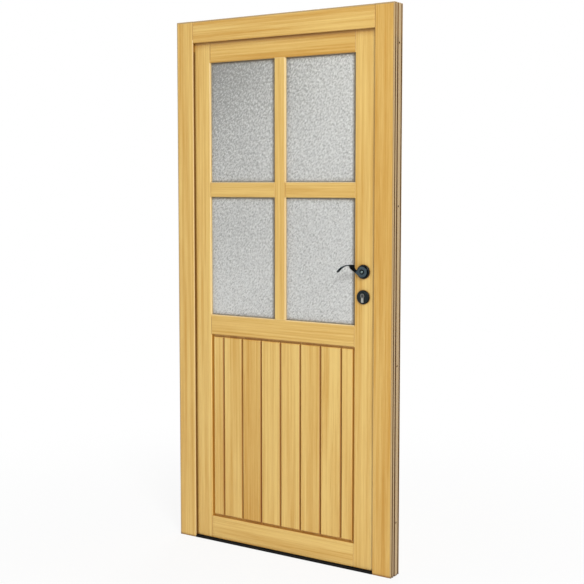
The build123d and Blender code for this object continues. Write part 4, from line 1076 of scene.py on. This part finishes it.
class DOOR_OT_glass(Operator):
    """Models the rolled outer panes and gives the inner panes and their spacers a finish"""

    bl_idname = "door.glass"
    bl_label = "Set the glass"

    def execute(self, context):
        settings = context.scene.door.glass
        rolled = rolled_glass_material(settings)
        for pane in PANES:
            node = f"outer_pane_{pane}"
            low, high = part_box(node)
            mesh = rolled_pane(f"rolled_pane_{pane}", low, high, settings)
            new_piece(f"rolled_pane_{pane}", mesh, "leaf", [node], rolled)
        paint([f"inner_pane_{pane}" for pane in PANES], clear_glass_material())
        bar = linear(168, 171, 174)
        paint(["glass_spacers"], metal_material("Spacer aluminium", bar, scaled(bar, 0.85)))
        return {"FINISHED"}


class DOOR_OT_forged(Operator):
    """Models the forged levers and roses with worn edges and hammer marks"""

    bl_idname = "door.forged"
    bl_label = "Forge the furniture"

    def execute(self, context):
        settings = context.scene.door.metal
        low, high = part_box("spindle")
        # Painted shade on the levers' and roses' flanks; on the lever, a painted highlight on the boss and a ring of
        # painted shade
        lever_iron = metal_material(
            "Rubbed black iron", settings.rubbed_iron_and_sheen, scaled(settings.rubbed_iron_and_sheen, 0.6), crevice=0.95, edge=0.05,
            flank=0.97, axis=(low + high) / 2, spot=settings.boss_highlight, spot_radius=settings.boss_radius,
            ring_radius=settings.ring_radius)
        set_constants(lever_iron.node_tree.nodes["Principled BSDF"], Specular_Tint=LEVER_GLOSS)
        rose_iron = metal_material(
            "Black iron", settings.iron, scaled(settings.iron, 0.55), crevice=0.95, edge=0.05, flank=0.7)
        for node in FORGED:
            lever = node.endswith("lever")
            body = "handle" if lever else "leaf"
            iron = lever_iron if lever else rose_iron
            low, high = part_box(node)
            mesh = softened(f"forged_{node}", node, settings)
            hammer(mesh, settings.hammer_depth, low, high)
            new_piece(f"forged_{node}", mesh, body, [node], iron)
        return {"FINISHED"}


class DOOR_OT_fittings(Operator):
    """Gives the hinges, the lock, the cylinder, the threshold and the seals their finishes"""

    bl_idname = "door.fittings"
    bl_label = "Finish the fittings"

    def execute(self, context):
        settings = context.scene.door.metal
        zinc = settings.zinc
        paint(HINGES, metal_material("Zinc hinges", zinc, scaled(zinc, 0.8)))
        paint(LOCK_STEEL, metal_material("Zinc lock steel", zinc, scaled(zinc, 0.78)))
        screw_steel = metal_material("Screw steel", scaled(zinc, 0.62), scaled(zinc, 0.5), crevice=0.95)
        for node, body, way in (("faceplate_screws", "leaf", 1), ("strike_screws", "frame", -1)):
            mesh = cross_screws(f"cross_{node}", node, way)
            new_piece(f"cross_{node}", mesh, body, [node], screw_steel)
        nickel = settings.nickel
        # Painted shade darkens the cylinder's round head round its axis; the plug is dark nickel
        low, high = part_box("cylinder_body")
        middle = (low.x + high.x) / 2
        radius = (high.x - low.x) / 2
        paint(["cylinder_body"], metal_material(
            "Satin nickel", nickel, scaled(nickel, 0.86), axis=(middle, 0, high.z - radius),
            spot=scaled(nickel, 0.42), spot_radius=radius))
        paint(["cylinder_plug"], metal_material("Worn nickel plug", scaled(nickel, 0.3), scaled(nickel, 0.2)))
        black = linear(13, 13, 14)
        foot = metal_material("Black aluminium", black, linear(24, 24, 25), edge=0.03)
        set_constants(foot.node_tree.nodes["Principled BSDF"], Specular_IOR_Level=FOOT_GLOSS)
        paint(["threshold"], foot)
        paint(RUBBER, soft_material("Seal rubber", linear(20, 20, 21), linear(42, 42, 43), 0.6))
        paint(["glazing_seals"], soft_material("Pale sealant", linear(236, 222, 192), linear(222, 205, 172), 0.4))
        return {"FINISHED"}


class DOOR_OT_stage(Operator):
    """Sets the pale floor, the studio light and the camera"""

    bl_idname = "door.stage"
    bl_label = "Set the stage"

    def execute(self, context):
        settings = context.scene.door.stage
        scene = context.scene
        scene.view_settings.view_transform = "Standard"
        self.lay_floor(settings)
        self.light_room(scene, settings)
        for name, place, aim, size, power in LAMPS:
            self.hang_lamp(name, place, aim, size, getattr(settings, power))
        self.set_camera(scene, settings)
        return {"FINISHED"}

    def seen(self, tree):
        """1 where a camera, glossy or transmission ray looks, else 0."""
        path = tree.nodes.new("ShaderNodeLightPath")
        share = plus(tree, path.outputs["Is Camera Ray"], path.outputs["Is Glossy Ray"])
        return plus(tree, share, path.outputs["Is Transmission Ray"], clamp=True)

    def lay_floor(self, settings):
        """A wide pale floor that reads as white and keeps a faint shadow."""
        mesh = bpy.data.meshes.new("floor")
        corners = [(x * FLOOR_HALF, y * FLOOR_HALF, 0) for x, y in ((-1, -1), (1, -1), (1, 1), (-1, 1))]
        mesh.from_pydata(corners, [], [(0, 1, 2, 3)])
        floor = bpy.data.objects.new("floor", mesh)
        bpy.context.scene.collection.objects.link(floor)
        material, tree, shader = new_material("Pale floor")
        dust = clouds(tree, local_place(tree), 3.0, 4.0)
        colour = blend_colour(tree, dust, rgba(settings.floor), rgba(scaled(settings.floor, 0.985)))
        tree.links.new(colour, shader.inputs["Base Color"])
        set_constants(shader, Roughness=0.9, Specular_IOR_Level=0.0)
        white = put(tree, "ShaderNodeEmission", {"Color": (1, 1, 1, 1), "Strength": 1.0})
        near = put(tree, "ShaderNodeMapRange", {
            0: put(tree, "ShaderNodeVectorMath", {0: local_place(tree)}, operation="LENGTH").outputs["Value"],
            1: 0.6, 2: 2.6, 3: 0.86, 4: 1.0}, interpolation_type="SMOOTHSTEP")
        share = times(tree, self.seen(tree), near.outputs[0])
        mix_surface(tree, share, shader, white)
        mesh.materials.append(material)

    def light_room(self, scene, settings):
        """Even light from all round, seen as white."""
        world = bpy.data.worlds.new("Studio")
        scene.world = world
        world.use_nodes = True
        tree = world.node_tree
        background = tree.nodes["Background"]
        background.inputs["Color"].default_value = (1, 1, 1, 1)
        seen = self.seen(tree)
        dim = times(tree, rest_of(tree, seen), settings.ambient)
        tree.links.new(plus(tree, seen, dim), background.inputs["Strength"])

    def hang_lamp(self, name, place, aim, size, power):
        """One soft rectangular lamp turned to a point."""
        lamp = bpy.data.lights.new(name, "AREA")
        lamp.shape = "RECTANGLE"
        lamp.size, lamp.size_y = size
        lamp.energy = power
        holder = bpy.data.objects.new(name, lamp)
        holder.location = place
        holder.rotation_euler = (Vector(aim) - Vector(place)).to_track_quat("-Z", "Y").to_euler()
        bpy.context.scene.collection.objects.link(holder)

    def set_camera(self, scene, settings):
        """The camera at the picture's viewing angle."""
        data = bpy.data.cameras.new("Camera")
        data.angle = settings.camera_view
        data.shift_y = settings.camera_rise
        data.clip_end = CAMERA_REACH
        camera = bpy.data.objects.new("Camera", data)
        camera.location = settings.camera_place
        camera.rotation_euler = Euler((math.pi / 2 - settings.camera_drop, 0.0, settings.camera_turn))
        scene.collection.objects.link(camera)
        scene.camera = camera


class DOOR_PT_panel(Panel):
    """Lists the steps that dress the door"""

    bl_idname = "DOOR_PT_panel"
    bl_label = "Side entrance door"
    bl_space_type = "VIEW_3D"
    bl_region_type = "UI"
    bl_category = "Door"

    def draw(self, context):
        for step in STEPS:
            self.layout.operator(step.bl_idname)


STEPS = (DOOR_OT_timber, DOOR_OT_glass, DOOR_OT_forged, DOOR_OT_fittings, DOOR_OT_stage)
CLASSES = (TimberSettings, GlassSettings, MetalSettings, StageSettings, DoorSettings, *STEPS, DOOR_PT_panel)


def register():
    """Registers the classes and hangs the settings on the scene."""
    for item in CLASSES:
        bpy.utils.register_class(item)
    bpy.types.Scene.door = PointerProperty(type=DoorSettings)


def unregister():
    """Takes the settings and the classes away again."""
    del bpy.types.Scene.door
    for item in reversed(CLASSES):
        bpy.utils.unregister_class(item)


def main():
    """Dresses the door."""
    register()
    bpy.ops.door.timber()
    bpy.ops.door.glass()
    bpy.ops.door.forged()
    bpy.ops.door.fittings()
    bpy.ops.door.stage()


if __name__ == "__main__":
    main()
